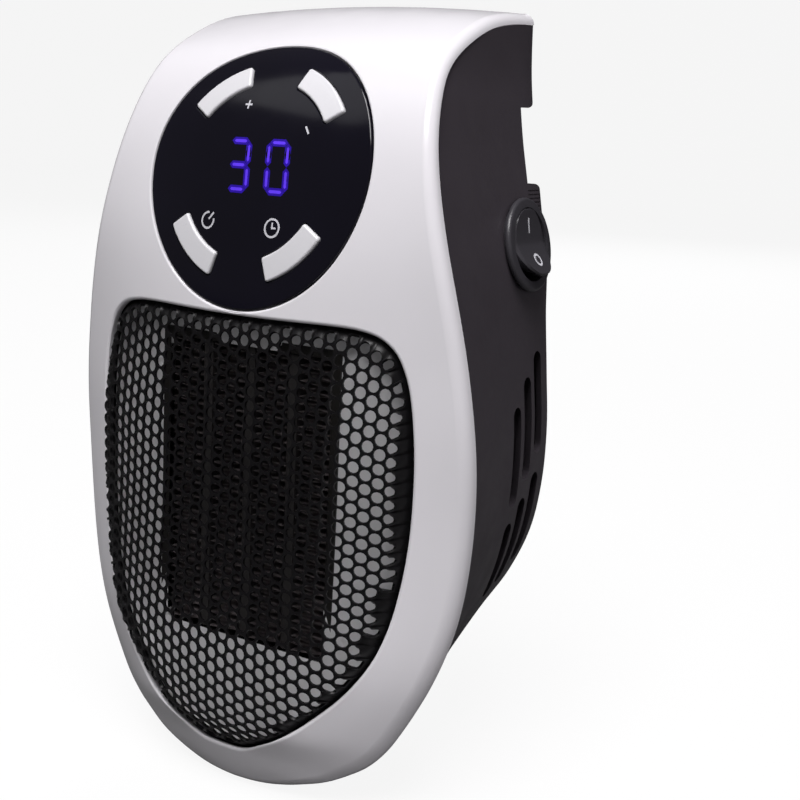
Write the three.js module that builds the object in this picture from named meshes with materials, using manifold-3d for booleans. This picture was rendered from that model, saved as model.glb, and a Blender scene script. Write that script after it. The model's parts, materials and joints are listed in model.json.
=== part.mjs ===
// Small ceramic fan heater that plugs straight into a wall socket.
// Millimetres, +Z up. The front faces -Y and the wall lies at +Y.
// The origin is the centre of the plug's flat face, where it meets the socket.
// While it is built, y is 0 at the waist of the front and z is 0 at the foot of the front's rim.
import * as THREE from 'three';
import { mergeVertices } from 'three/addons/utils/BufferGeometryUtils.js';
import Module from 'manifold-3d';

const wasm = await Module();
wasm.setup();

// Body
const bodyHeight = 174.9;
const bodyHalfWidth = 52.8;
const bodyDepth = 51.5;
const fitGap = 0.3;
const overrun = 6;
const clearReach = 30;
const trimReach = 60;

// Side profile of the front's rim, from the lowest tip over the top to the rear edge,
// as shares of the body's depth and of its height.
const profileShares = [
  [-0.026, 0.0], [-0.031, 0.018], [-0.024, 0.033], [-0.01, 0.048], [0.014, 0.066], [0.027, 0.092],
  [0.047, 0.186], [0.078, 0.281], [0.08, 0.393], [0.039, 0.543], [-0.005, 0.704], [0.016, 0.782],
  [0.054, 0.83], [0.111, 0.871], [0.171, 0.901], [0.245, 0.924], [0.377, 0.948], [0.583, 0.974],
  [0.777, 0.985], [1.0, 0.99],
];
// Half-width of the front: share of the profile's length, share of the greatest half-width.
const outlineShares = [
  [0.0, 0.0], [0.001, 0.117], [0.006, 0.229], [0.015, 0.337], [0.026, 0.438], [0.041, 0.53],
  [0.057, 0.617], [0.078, 0.695], [0.107, 0.765], [0.135, 0.824], [0.161, 0.873], [0.223, 0.951],
  [0.28, 0.985], [0.337, 1.0], [0.399, 1.0], [0.466, 0.973], [0.53, 0.93], [0.583, 0.883],
  [0.628, 0.839], [0.671, 0.799], [0.713, 0.765], [0.751, 0.739], [0.806, 0.71], [0.892, 0.7],
  [1.0, 0.69],
];
// Forward bulge of the front's middle line: share of the length, share of the greatest bulge.
const bellyBulge = 14.8;
const bulgeShares = [
  [0.0, 0.014], [0.001, 0.054], [0.006, 0.128], [0.015, 0.209], [0.026, 0.318], [0.041, 0.5],
  [0.057, 0.703], [0.078, 0.872], [0.107, 0.95], [0.161, 1.0], [0.223, 1.0], [0.28, 0.953],
  [0.337, 0.872], [0.399, 0.757], [0.466, 0.622], [0.53, 0.486], [0.583, 0.351], [0.628, 0.236],
  [0.671, 0.152], [0.713, 0.101], [0.751, 0.095], [0.849, 0.115], [1.0, 0.115],
];

// Front shell
const shellWall = 2.2;
const shellRimDepth = 3.2;
const shellEdgeRadius = 2.2;
const shellRowShares = [
  0.0, 0.012, 0.03, 0.055, 0.09, 0.135, 0.19, 0.26, 0.335, 0.415, 0.49, 0.56, 0.625, 0.685, 0.74, 0.79, 0.84,
  0.89, 0.94, 1.0,
];
const shellColumns = 6;
const outlineSteps = 22;
const outlineEase = 1.6;
const topEdgeSteps = 4;
const edgeSteps = 2;

// Control lens and its seat
const lensRadius = 28.4;
const lensCentreShare = 0.666;
const lensThickness = 1.9;
const lensLedgeWidth = 2.2;
const lensLedgeDepth = 1.4;
const lensSides = 30;

// Keys in the lens, each an arc about the lens centre
const keyInnerRadius = 18.2;
const keyOuterRadius = 23.6;
const keySpan = 39;
const keyOffAxis = 38;
const keyRise = 0.5;
const keyThickness = 2.6;
const keyGap = 0.35;
const keyTravel = 0.5;
const keyStemRadius = 1.6;
const keyArcSteps = 3;

// Board behind the lens, with a small switch under each key
const boardDrop = 12.5;
const boardThickness = 1.6;
const boardHalfWidth = 31;
const boardHalfHeight = 23;
const tactWidth = 6;
const tactHeight = 3.4;
const tactPlungerRadius = 1.5;
const tactPlungerHeight = 1.2;
const displaySize = [21, 15];

// Outlet opening, from its lowest middle up the right side to the top middle:
// share of the greatest half-width, share of the opening's height
const outletSideRim = 10.6;
const outletHalfWidth = bodyHalfWidth - outletSideRim;
const outletBottom = 8.9;
const outletBridge = 1.2777;
const outletShares = [
  [0.149, 0.005], [0.284, 0.035], [0.41, 0.079], [0.559, 0.137], [0.723, 0.209], [0.844, 0.285],
  [0.912, 0.361], [0.957, 0.452], [0.986, 0.55], [0.998, 0.659], [0.995, 0.766], [0.969, 0.868],
  [0.936, 0.92], [0.889, 0.958], [0.813, 0.984], [0.711, 0.996], [0.6, 1.0],
];

// Grille: a pressed sheet with six-sided holes
const grilleGap = 0.5;
const grilleInset = 0.5;
const grilleWall = 0.9;
const grilleSkirt = 3.4;
const grilleEdgeRadius = 2;
const grillePitch = 13;
const grilleHoleRadius = 5.8;
const grilleHoleSides = 6;
const grilleBorder = 7.6;

// Outlet duct, a shallow funnel round the heating element
const ductWall = 1.5;
const ductGap = 1.3;
const ductSteps = 32;
const windowHalfWidth = 22;
const windowFoot = 24.331;
const windowHead = 8.569;
const windowFront = -1.1;

// Fan line between the window and the rear wall, as shares of that depth
const elementRearShare = 0.24;
const wheelFrontShare = 0.32;
const wheelRearShare = 0.52;
const shroudRearShare = 0.6;
const motorRearShare = 0.93;

// Heating element
const frameWall = 2;
const ceramicBarWidth = 2.4;
const ceramicBars = 3;
const finFolds = 14;
const finThickness = 1;
const partGap = 0.3;
const cutoutRadius = 4.4;
const cutoutHeight = 3.5;
const cutoutGap = 1.844;
const fuseRadius = 1.9;
const fuseLength = 14;

// Fan
const wheelSideRoom = 23.8;
const wheelRadius = bodyHalfWidth - wheelSideRoom;
const wheelHubRadius = 10.5;
const wheelBlades = 7;
const bladeThickness = 1.4;
const bladeChord = 11;
const bladeRoot = 1;
const bladeSteps = 3;
const bladeTwist = [52, 34];
const shroudGap = 1.8;
const shroudWall = 2;
const shroudArms = 3;
const armWidth = 5;
const armThickness = 2.4;
const shroudEarOffset = 9;
const shroudEarReach = wheelRadius + shroudEarOffset;
const shroudEarHalf = 4.2;
const motorRadius = 14;
const motorPlateRadius = 12;
const shaftRadius = 1.5;
const shaftGap = 0.5;
const fanHeightShare = 0.379;

// Rear housing
const housingWall = 2;
const housingInset = 0.6;
const housingEdgeRadius = 2.5;
const housingRearSteps = 2;
// Matched points of the housing's outline at the front and on its rear face, from the
// bottom middle up the right side: shares of the half-width and of the height.
const housingShares = [
  [[0.0, -0.004], [0.0, 0.046]],
  [[0.229, 0.007], [0.18, 0.053]],
  [[0.438, 0.029], [0.331, 0.072]],
  [[0.617, 0.067], [0.445, 0.1]],
  [[0.765, 0.123], [0.503, 0.131]],
  [[0.873, 0.186], [0.637, 0.198]],
  [[0.951, 0.257], [0.764, 0.256]],
  [[0.985, 0.325], [0.858, 0.32]],
  [[1.0, 0.393], [0.9, 0.389]],
  [[0.999, 0.465], [0.907, 0.463]],
  [[0.973, 0.543], [0.888, 0.537]],
  [[0.93, 0.618], [0.866, 0.614]],
  [[0.883, 0.681], [0.855, 0.677]],
  [[0.839, 0.732], [0.819, 0.737]],
  [[0.799, 0.782], [0.792, 0.783]],
  [[0.765, 0.83], [0.761, 0.832]],
  [[0.739, 0.871], [0.741, 0.874]],
  [[0.706, 0.926], [0.723, 0.926]],
  [[0.695, 1.106], [0.71, 1.106]],
];

// Air slots on both sides: centre as shares of depth and height, then a share of the length
const slotWidth = 3;
const slotLength = 24.3;
const slotShares = [
  [0.687, 0.442, 0.97], [0.777, 0.473, 1], [0.868, 0.502, 1],
  [0.687, 0.304, 0.78], [0.777, 0.322, 0.9], [0.868, 0.347, 0.94],
];
const slotEndSteps = 2;

// Plug on its turning disc
const plugDrop = 30.4;
const plugHeight = bodyHeight - plugDrop;
const plugDiscRadius = 24.2;
const plugDiscProud = 2.5;
const plugPocketGap = 0.5;
const plugPocketDepth = 7.8;
const plugHubRadius = 15;
const plugFlutes = 14;
const plugFluteRadius = 1.6;
const plugDiscSides = 28;
const notchHalfHeight = 8.25;
const pinHalfSpacing = 9.5;
const pinRadius = 2.4;
const pinLength = 19;
const pinHeadRadius = 3.4;
const pinSides = 12;
const retainerRadius = 19;
const retainerThickness = 2;
const retainerScrewReach = 10.5;
const carrierRadius = 23;
const carrierWall = 1.8;
const carrierDepth = 11;
const carrierEarReach = 28;
const carrierEarRadius = 3.6;
const trackRadii = [9.5, 16];
const trackWidth = 3;
const trackThickness = 1;
const leafWidth = 2.4;

// Rocker switch on the right side
const switchDepthShare = 0.75;
const switchDrop = 21.3704;
const switchBezelRadius = 10.3;
const switchBezelThickness = 1.8;
const switchSeatMargin = 0.8;
const switchBodyRadius = 9.2;
const switchBodyDepth = 11;
const rockerRadius = 7.6;
const rockerGap = 0.5;
const rockerTilt = -10;
const rockerProud = 2.8;
const rockerWaist = 1.4;
const rockerDepth = 3;
const rockerRoom = 5.5;
const terminalReach = 6;
const terminalWidth = 4.8;
const terminalThickness = 0.8;

// Power board and its parts
const powerBoardDrop = 27.5;
const powerBoardHeight = 16;
const powerBoardHalfWidth = 29;
const powerBoardStandoff = 3.5;
const powerPostRadius = 2.4;
const powerPostReach = 26;
const relaySize = [15, 11, 12];
const capacitorSize = [16, 8, 12];
const componentGap = 2;

// Screws
const screwHeadRadius = 2.7;
const screwHeadHeight = 2;
const screwShankRadius = 1.3;
const screwLength = 10;
const shortScrewLength = 4;
const screwSides = 8;
const bossWall = 1.5;
const topScrewDrop = 14.9;
const housingScrewPlaces = [[28, bodyHeight - topScrewDrop], [20, 12.5]];
const screwMeetShares = [0.5, 0.14];

const finish = {
  whiteGloss: [0xf1f0f4, 0.28, 0.0],
  lensBlack: [0x0b0a0f, 0.08, 0.0],
  keyWhite: [0xdedde3, 0.35, 0.0],
  charcoal: [0x39353a, 0.5, 0.0],
  switchBlack: [0x1b1a1c, 0.35, 0.0],
  grilleBlack: [0x161517, 0.45, 0.6],
  paleGrey: [0xc9c9cc, 0.45, 0.1],
  mica: [0xa9a08c, 0.7, 0.0],
  aluminium: [0x8c8c90, 0.4, 0.9],
  ceramic: [0x4c4a4b, 0.7, 0.0],
  boardGreen: [0x1f5a36, 0.5, 0.0],
  componentBlack: [0x202022, 0.5, 0.0],
  relayBlue: [0x2a4f8f, 0.5, 0.0],
  capacitorYellow: [0xc9a227, 0.5, 0.0],
  brass: [0xc2a25a, 0.3, 1.0],
  steel: [0x9a9b9e, 0.3, 1.0],
  copper: [0xb87348, 0.35, 1.0],
  fanGrey: [0x6f7276, 0.5, 0.0],
};

const heater = new THREE.Group();
heater.name = 'ceramic_heater';
const shift = new THREE.Vector3(0, -(bodyDepth + plugDiscProud), -plugHeight);
const bothSides = [1, -1];

function addPiece(name, geometry, look) {
  const [color, roughness, metalness] = look;
  const material = new THREE.MeshStandardMaterial({ color, roughness, metalness });
  const piece = new THREE.Mesh(geometry.translate(shift.x, shift.y, shift.z), material);
  piece.name = name;
  heater.add(piece);
}

// Solid work on plain geometries

function toSolid(geometry) {
  const bare = geometry.clone();
  bare.deleteAttribute('normal');
  bare.deleteAttribute('uv');
  const welded = mergeVertices(bare);
  return new wasm.Manifold(new wasm.Mesh({
    numProp: 3,
    vertProperties: new Float32Array(welded.attributes.position.array),
    triVerts: new Uint32Array(welded.index.array),
  }));
}

function toGeometry(body) {
  const mesh = body.getMesh();
  const geometry = new THREE.BufferGeometry();
  geometry.setAttribute('position', new THREE.BufferAttribute(new Float32Array(mesh.vertProperties), 3));
  geometry.setIndex(new THREE.BufferAttribute(new Uint32Array(mesh.triVerts), 1));
  return geometry;
}

function join(...geometries) {
  return toGeometry(geometries.map(toSolid).reduce((whole, next) => whole.add(next)));
}

function cut(geometry, ...tools) {
  return toGeometry(tools.map(toSolid).reduce((whole, tool) => whole.subtract(tool), toSolid(geometry)));
}

function common(first, second) {
  return toGeometry(toSolid(first).intersect(toSolid(second)));
}

// Box from its two opposite corners.
function block(low, high) {
  const size = high.map((value, axis) => value - low[axis]);
  const middle = high.map((value, axis) => (value + low[axis]) / 2);
  return new THREE.BoxGeometry(...size).translate(...middle);
}

// Rod along Y between two depths.
function rodY(radius, x, z, from, to, sides = screwSides) {
  return new THREE.CylinderGeometry(radius, radius, to - from, sides).translate(x, (from + to) / 2, z);
}

function ringY(outer, inner, x, z, from, to, sides = lensSides) {
  return cut(rodY(outer, x, z, from, to, sides), rodY(inner, x, z, from - overrun, to + overrun, sides));
}

// Screw along Y put in from the rear: head behind its seat, shank forwards.
function rearScrew(x, z, seat) {
  const head = rodY(screwHeadRadius, x, z, seat, seat + screwHeadHeight);
  return join(head, rodY(screwShankRadius, x, z, seat - screwLength, seat + screwHeadHeight / 2));
}

// Screw along Y put in from the front: head before its seat, shank to the rear.
function frontScrew(x, z, seat, reach) {
  const head = rodY(screwHeadRadius, x, z, seat - fitGap - screwHeadHeight, seat - fitGap);
  return join(head, rodY(screwShankRadius, x, z, seat - screwHeadHeight, seat + reach));
}

// Value of a table of [place, value] rows, joined by smooth curves.
function tableAt(table, place) {
  const last = table.length - 1;
  const clamped = THREE.MathUtils.clamp(place, table[0][0], table[last][0]);
  let index = 0;
  while (index < last - 1 && table[index + 1][0] <= clamped) index += 1;
  const slopeAt = (row) => {
    const before = table[Math.max(row - 1, 0)];
    const after = table[Math.min(row + 1, last)];
    return (after[1] - before[1]) / (after[0] - before[0]);
  };
  const [start, startValue] = table[index];
  const [end, endValue] = table[index + 1];
  const span = end - start;
  const t = (clamped - start) / span;
  const t2 = t * t;
  const t3 = t2 * t;
  return (2 * t3 - 3 * t2 + 1) * startValue + (t3 - 2 * t2 + t) * span * slopeAt(index)
    + (3 * t2 - 2 * t3) * endValue + (t3 - t2) * span * slopeAt(index + 1);
}

// Faces turned round where the volume comes out negative.
function outwards(positions, triangles) {
  const corner = (i) => new THREE.Vector3(...positions.slice(3 * i, 3 * i + 3));
  let volume = 0;
  for (let i = 0; i < triangles.length; i += 3) {
    const [a, b, c] = [corner(triangles[i]), corner(triangles[i + 1]), corner(triangles[i + 2])];
    volume += a.dot(b.cross(c));
  }
  const geometry = new THREE.BufferGeometry();
  geometry.setAttribute('position', new THREE.Float32BufferAttribute(positions, 3));
  geometry.setIndex(volume < 0 ? triangles.slice().reverse() : triangles);
  return geometry;
}

// Skin of quads between loops of equal count. A closed one runs back to its first loop,
// an open one is closed by a fan at both ends.
function skin(loops, closed) {
  const positions = loops.flatMap((loop) => loop.flatMap((point) => point.toArray()));
  const triangles = [];
  const count = loops[0].length;
  const levels = closed ? loops.length : loops.length - 1;
  for (let level = 0; level < levels; level += 1) {
    const next = (level + 1) % loops.length;
    for (let i = 0; i < count; i += 1) {
      const j = (i + 1) % count;
      const [a, b, c, d] = [level * count + i, level * count + j, next * count + j, next * count + i];
      triangles.push(a, b, c, a, c, d);
    }
  }
  if (!closed) {
    [0, loops.length - 1].forEach((level) => {
      const middle = new THREE.Vector3();
      loops[level].forEach((point) => middle.addScaledVector(point, 1 / count));
      positions.push(...middle.toArray());
      const centre = positions.length / 3 - 1;
      for (let i = 0; i < count; i += 1) {
        const [a, b] = [level * count + i, level * count + (i + 1) % count];
        if (level === 0) triangles.push(centre, b, a);
        else triangles.push(centre, a, b);
      }
    });
  }
  return outwards(positions, triangles);
}

// The front as a flat pattern: x across, "along" up the profile, "out" off the surface.

const profileCurve = new THREE.CatmullRomCurve3(
  profileShares.map(([depth, height]) => new THREE.Vector3(0, depth * bodyDepth, height * bodyHeight)),
  false,
  'centripetal',
);
profileCurve.arcLengthDivisions = 600;
const faceLength = profileCurve.getLength();

function halfWidthAt(along) {
  return bodyHalfWidth * tableAt(outlineShares, along / faceLength);
}

function bulgeAt(x, along) {
  const width = Math.max(halfWidthAt(along), shellWall);
  return bellyBulge * tableAt(bulgeShares, along / faceLength) * (1 - Math.min((x / width) ** 2, 1));
}

// Point and directions of the profile; past its ends it runs straight on.
function profileAt(along) {
  const share = THREE.MathUtils.clamp(along / faceLength, 0, 1);
  const point = profileCurve.getPointAt(share);
  const up = profileCurve.getTangentAt(share);
  point.addScaledVector(up, along - share * faceLength);
  return { point, up, outward: new THREE.Vector3(0, -up.z, up.y) };
}

// Point of the front at a level off its surface, or off its rim line where the bulge is left out.
function onFace(x, along, out, bulgeShare = 1) {
  const { point, outward } = profileAt(along);
  return point.clone().addScaledVector(outward, out + bulgeShare * bulgeAt(x, along)).setX(x);
}

function faceFrame(x, along) {
  const { up, outward } = profileAt(along);
  const place = new THREE.Matrix4().makeBasis(new THREE.Vector3(1, 0, 0), up, outward);
  return place.setPosition(onFace(x, along, 0));
}

// Bends a flat pattern solid over the front.
function bend(geometry, bulgeShare = 1, acrossAt = (x) => x) {
  const bent = mergeVertices(geometry.clone().deleteAttribute('normal').deleteAttribute('uv'));
  const position = bent.attributes.position;
  for (let i = 0; i < position.count; i += 1) {
    const along = position.getY(i);
    const place = onFace(acrossAt(position.getX(i), along), along, position.getZ(i), bulgeShare);
    position.setXYZ(i, place.x, place.y, place.z);
  }
  return bent;
}

// Layer between two levels over the whole front. Its rows stand closest where the front turns
// most, and its columns follow the rim, one of them on either side of it.
function wholeLayer(lowOut, highOut, bulgeShare = 1) {
  const [from, to] = [-2 * overrun, faceLength + 2 * overrun];
  const half = 1 + 2 / shellColumns;
  const places = [from, ...shellRowShares.map((share) => share * faceLength), to];
  const rows = places.length - 1;
  const slab = new THREE.BoxGeometry(2 * half, rows, highOut - lowOut, shellColumns + 2, rows, 1);
  const position = slab.attributes.position;
  for (let i = 0; i < position.count; i += 1) {
    position.setY(i, places[Math.round(position.getY(i) + rows / 2)]);
  }
  const acrossAt = (share, along) => {
    const width = Math.max(halfWidthAt(along), shellWall);
    const beyond = Math.abs(share) > 1 + Number.EPSILON * half ? clearReach : 0;
    return Math.sign(share) * (Math.min(Math.abs(share), 1) * width + beyond);
  };
  return bend(slab.translate(0, 0, (lowOut + highOut) / 2), bulgeShare, acrossAt);
}

// Layer between two levels over a region: a stretch of the profile and a half-width.
function layer(lowOut, highOut, [from, to, half]) {
  const rows = Math.max(4, Math.round((to - from) / faceLength * shellRowShares.length));
  const slab = new THREE.BoxGeometry(2 * half, to - from, highOut - lowOut, shellColumns, rows, 1);
  return bend(slab.translate(0, (from + to) / 2, (lowOut + highOut) / 2));
}

// Closed outline, counter-clockwise, moved inwards by an inset.
function insetPoints(points, inset) {
  return points.map(([x, along], index) => {
    const before = points[(index + points.length - 1) % points.length];
    const after = points[(index + 1) % points.length];
    const length = Math.hypot(after[0] - before[0], after[1] - before[1]);
    return [
      x - (after[1] - before[1]) / length * inset,
      along + (after[0] - before[0]) / length * inset,
    ];
  });
}

// Right half of an outline with its mirror image; its end points lie on the middle line.
function mirrored(right) {
  const left = right.filter(([x]) => x > 0).reverse().map(([x, along]) => [-x, along]);
  return [...right, ...left];
}

function outlinePoints() {
  const right = [];
  for (let step = 0; step <= outlineSteps; step += 1) {
    const along = (step / outlineSteps) ** outlineEase * faceLength;
    right.push([halfWidthAt(along), along]);
  }
  const edge = right[outlineSteps][0];
  for (let step = 1; step < topEdgeSteps / 2; step += 1) {
    right.push([edge * (1 - 2 * step / topEdgeSteps), faceLength]);
  }
  right.push([0, faceLength]);
  return mirrored(right);
}

// Heights of the lens and of the outlet below it, along the face
const lensCentre = lensCentreShare * faceLength;
const outletTop = lensCentre - lensRadius - outletBridge;

function outletPoints() {
  const right = outletShares.map(([width, height]) => [
    width * outletHalfWidth,
    THREE.MathUtils.lerp(outletBottom, outletTop, height),
  ]);
  const corner = [outletShares[0][0] * outletHalfWidth, outletTop];
  return mirrored([[0, outletBottom], ...right, corner, [0, outletTop]]);
}


function circlePoints(radius) {
  const points = [];
  for (let side = 0; side < lensSides; side += 1) {
    const angle = side / lensSides * 2 * Math.PI;
    points.push([radius * Math.cos(angle), lensCentre + radius * Math.sin(angle)]);
  }
  return points;
}

// Tool that clears away all that lies outside an outline and rounds the edge it leaves.
function trimTool(points, top, radius, depth, reach = trimReach) {
  const steps = [[0, top - depth]];
  for (let step = 0; step <= edgeSteps && radius > 0; step += 1) {
    const angle = step / edgeSteps * Math.PI / 2;
    steps.push([radius * (1 - Math.cos(angle)), top - radius + radius * Math.sin(angle)]);
  }
  steps.push([radius, top + clearReach], [-reach, top + clearReach], [-reach, top - depth]);
  return skin(
    steps.map(([inset, out]) => insetPoints(points, inset).map(([x, along]) => onFace(x, along, out))),
    true,
  );
}

// Tool that clears away all that lies inside an outline, from a level outwards.
function openingTool(points, lowOut = -overrun) {
  const levels = [clearReach, overrun / 2, -shellWall / 2, lowOut];
  return skin(levels.map((out) => points.map(([x, along]) => onFace(x, along, out))), false);
}

// Moulded or pressed sheet over the front: a skin with its rim turned inwards.
function formedSheet(points, top, wall, depth, radius, layerOf) {
  const trimDepth = depth + 1.5 * overrun;
  const outer = cut(layerOf(top - depth, top), trimTool(points, top, radius, trimDepth));
  const inner = cut(
    layerOf(top - depth - overrun, top - wall),
    trimTool(insetPoints(points, wall), top, 0, trimDepth),
  );
  return cut(outer, inner);
}

// Depths of the fan line
const rearInside = bodyDepth - housingWall;
const lineAt = (share) => THREE.MathUtils.lerp(windowFront, rearInside, share);
const elementRear = lineAt(elementRearShare);
const wheelFront = lineAt(wheelFrontShare);
const wheelRear = lineAt(wheelRearShare);
const shroudRear = lineAt(shroudRearShare);
const shroudPlate = shroudRear - armThickness;
const motorRear = lineAt(motorRearShare);
const fanHeight = fanHeightShare * bodyHeight;
const windowBottom = outletBottom + windowFoot;
const windowTop = outletTop - windowHead;

// Depths of the plug
const pocketFloor = bodyDepth - plugPocketDepth;
const floorInside = pocketFloor - housingWall;
const discFace = bodyDepth + plugDiscProud;
const retainerRear = floorInside - fitGap;
const retainerFront = retainerRear - retainerThickness;
const carrierRear = floorInside - fitGap;
const carrierFront = carrierRear - carrierDepth;
const earFront = carrierRear - carrierWall;
const trackRear = carrierFront + carrierWall + fitGap + trackThickness;
const boardRear = rearInside - powerBoardStandoff;

// Heights of the power board
const powerBoardHigh = plugHeight - powerBoardDrop;
const powerBoardLow = powerBoardHigh - powerBoardHeight;
const powerBoardMiddle = (powerBoardLow + powerBoardHigh) / 2;

// Rear housing

function housingRing(depth, inset) {
  const share = THREE.MathUtils.clamp(depth / bodyDepth, 0, 1);
  const right = housingShares.map(([front, rear]) => [
    bodyHalfWidth * THREE.MathUtils.lerp(front[0], rear[0], share),
    bodyHeight * THREE.MathUtils.lerp(front[1], rear[1], share),
  ]);
  return insetPoints(mirrored(right), inset).map(([x, z]) => new THREE.Vector3(x, depth, z));
}

// The housing's whole space, moved inwards by a wall.
function housingSpace(wall) {
  const inset = housingInset + wall;
  const radius = Math.max(housingEdgeRadius - wall, fitGap);
  const rear = bodyDepth - wall;
  const rings = [housingRing(-clearReach, inset), housingRing(0, inset)];
  for (let step = 0; step <= housingRearSteps; step += 1) {
    const angle = step / housingRearSteps * Math.PI / 2;
    const depth = rear - radius + radius * Math.sin(angle);
    rings.push(housingRing(depth, inset + radius * (1 - Math.cos(angle))));
  }
  return skin(rings, false);
}

// Half-width of the housing's outer side at a depth and height.
function sideAt(depth, height) {
  const ring = housingRing(depth, housingInset).slice(1, housingShares.length);
  return tableAt(ring.map((point) => [point.z, point.x]), height);
}

// Frame of the rocker switch: out of the side wall, rearwards and up along it.
function switchFrame() {
  const y = switchDepthShare * bodyDepth;
  const z = plugHeight - switchDrop;
  const step = switchBezelRadius / 2;
  const back = new THREE.Vector3(sideAt(y + step, z) - sideAt(y - step, z), 2 * step, 0).normalize();
  const rise = new THREE.Vector3(sideAt(y, z + step) - sideAt(y, z - step), 0, 2 * step).normalize();
  const out = back.clone().cross(rise).normalize();
  const up = out.clone().cross(back).normalize();
  return new THREE.Matrix4().makeBasis(out, back, up).setPosition(sideAt(y, z), y, z);
}
const switchPlace = switchFrame();

// Rod along the switch's outward axis, in the switch's own frame.
function rodOut(radius, from, to, sides = lensSides / 2) {
  const rod = new THREE.CylinderGeometry(radius, radius, to - from, sides);
  return rod.rotateZ(-Math.PI / 2).translate((from + to) / 2, 0, 0);
}

const housingScrews = housingScrewPlaces.flatMap(([x, z], index) => (
  bothSides.map((side) => [side * x, z, screwMeetShares[index] * bodyDepth])
));
const carrierEars = bothSides.map((side) => [
  side * carrierEarReach * Math.SQRT1_2,
  plugHeight + side * carrierEarReach * Math.SQRT1_2,
]);
const powerPosts = bothSides.map((side) => [side * powerPostReach, powerBoardMiddle]);
const fanPosts = bothSides.map((side) => [side * shroudEarReach, fanHeight]);

// Tool for an air slot; it follows the curve of the side wall.
function slotTool([depthShare, heightShare, lengthShare], side) {
  const y = depthShare * bodyDepth;
  const z = heightShare * bodyHeight;
  const straight = (slotLength * lengthShare - slotWidth) / 2;
  const outline = [];
  bothSides.forEach((end) => {
    for (let step = 0; step <= slotEndSteps; step += 1) {
      const angle = step / slotEndSteps * Math.PI;
      const [across, up] = [Math.cos(angle), Math.sin(angle)].map((share) => end * share * slotWidth / 2);
      outline.push([y + across, z + end * straight + up]);
    }
    outline.push([y - end * slotWidth / 2, z]);
  });
  const loops = [-2 * housingWall, overrun].map((reach) => (
    outline.map(([depth, height]) => new THREE.Vector3(side * (sideAt(depth, height) + reach), depth, height))
  ));
  return skin(loops, false);
}

function makeHousing() {
  const space = housingSpace(0);
  const room = housingSpace(housingWall);
  const pocketRadius = plugDiscRadius + plugPocketGap;
  const notchWall = notchHalfHeight + housingWall;
  const inner = [
    rodY(pocketRadius + housingWall, 0, plugHeight, floorInside, bodyDepth, lensSides),
    block(
      [-bodyHalfWidth, floorInside, plugHeight - notchWall],
      [bodyHalfWidth, bodyDepth, plugHeight + notchWall],
    ),
    rodOut(switchBezelRadius + switchSeatMargin, -housingWall - fitGap, 0).applyMatrix4(switchPlace),
  ];
  const bores = [
    rodY(pocketRadius, 0, plugHeight, pocketFloor, bodyDepth + overrun, lensSides),
    rodY(plugHubRadius + fitGap, 0, plugHeight, floorInside - overrun, bodyDepth, lensSides),
    block(
      [-bodyHalfWidth, pocketFloor, plugHeight - notchHalfHeight],
      [bodyHalfWidth, bodyDepth + overrun, plugHeight + notchHalfHeight],
    ),
    rodOut(switchBodyRadius + fitGap, -overrun, overrun).applyMatrix4(switchPlace),
    rodOut(switchBezelRadius + 2 * switchSeatMargin, 0, overrun).applyMatrix4(switchPlace),
  ];
  housingScrews.forEach(([x, z, meet]) => {
    inner.push(rodY(screwHeadRadius + fitGap + bossWall, x, z, meet, bodyDepth));
    bores.push(rodY(screwHeadRadius + fitGap, x, z, meet + housingWall, bodyDepth + overrun));
    bores.push(rodY(screwShankRadius + fitGap, x, z, meet - overrun, bodyDepth));
  });
  const posts = [
    [carrierEars, carrierRear + fitGap, carrierEarRadius],
    [powerPosts, boardRear + fitGap, powerPostRadius],
    [fanPosts, shroudRear + fitGap, powerPostRadius],
  ];
  posts.forEach(([places, front, radius]) => places.forEach(([x, z]) => {
    inner.push(rodY(radius, x, z, front, bodyDepth - fitGap));
    bores.push(rodY(screwShankRadius + fitGap, x, z, front - overrun, front + shortScrewLength));
  }));
  slotShares.forEach((slot) => bothSides.forEach((side) => bores.push(slotTool(slot, side))));
  const walls = cut(space, room);
  const fittings = inner.map((piece) => common(piece, space));
  return cut(join(walls, ...fittings), wholeLayer(-shellRimDepth - fitGap, 2 * bodyDepth), ...bores);
}

// Front shell, lens and keys

const lensReach = lensRadius + overrun;
const lensRegion = [lensCentre - lensReach, lensCentre + lensReach, lensReach];

function makeShell() {
  const opened = cut(
    formedSheet(outlinePoints(), 0, shellWall, shellRimDepth, shellEdgeRadius, wholeLayer),
    openingTool(outletPoints()),
  );
  const ledgeTop = -lensThickness - 2 * fitGap;
  const ledgeOuter = circlePoints(lensRadius + fitGap + shellWall / 2);
  const ledge = cut(
    layer(ledgeTop - lensLedgeDepth, -shellWall / 2, lensRegion),
    trimTool(ledgeOuter, 0, 0, 1.5 * overrun, lensRadius),
  );
  const seated = cut(
    join(opened, ledge),
    openingTool(circlePoints(lensRadius + fitGap), ledgeTop),
    openingTool(circlePoints(lensRadius - lensLedgeWidth), -2 * overrun),
  );
  const posts = housingScrews.map(([x, z, meet]) => cut(
    rodY(screwShankRadius + bossWall + fitGap, x, z, -bellyBulge, meet - fitGap),
    rodY(screwShankRadius + fitGap, x, z, meet - screwLength, bodyDepth),
  ));
  const beyond = wholeLayer(-shellWall / 2, bodyDepth);
  return join(seated, ...posts.map((post) => cut(post, beyond)));
}

const keyAngles = {
  up: 90 + keyOffAxis,
  down: 90 - keyOffAxis,
  power: 270 - keyOffAxis,
  timer: 270 + keyOffAxis,
};
const keyNames = Object.keys(keyAngles);

function keyPlace(name) {
  const angle = THREE.MathUtils.degToRad(keyAngles[name]);
  const radius = (keyInnerRadius + keyOuterRadius) / 2;
  return [radius * Math.cos(angle), lensCentre + radius * Math.sin(angle)];
}

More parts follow.
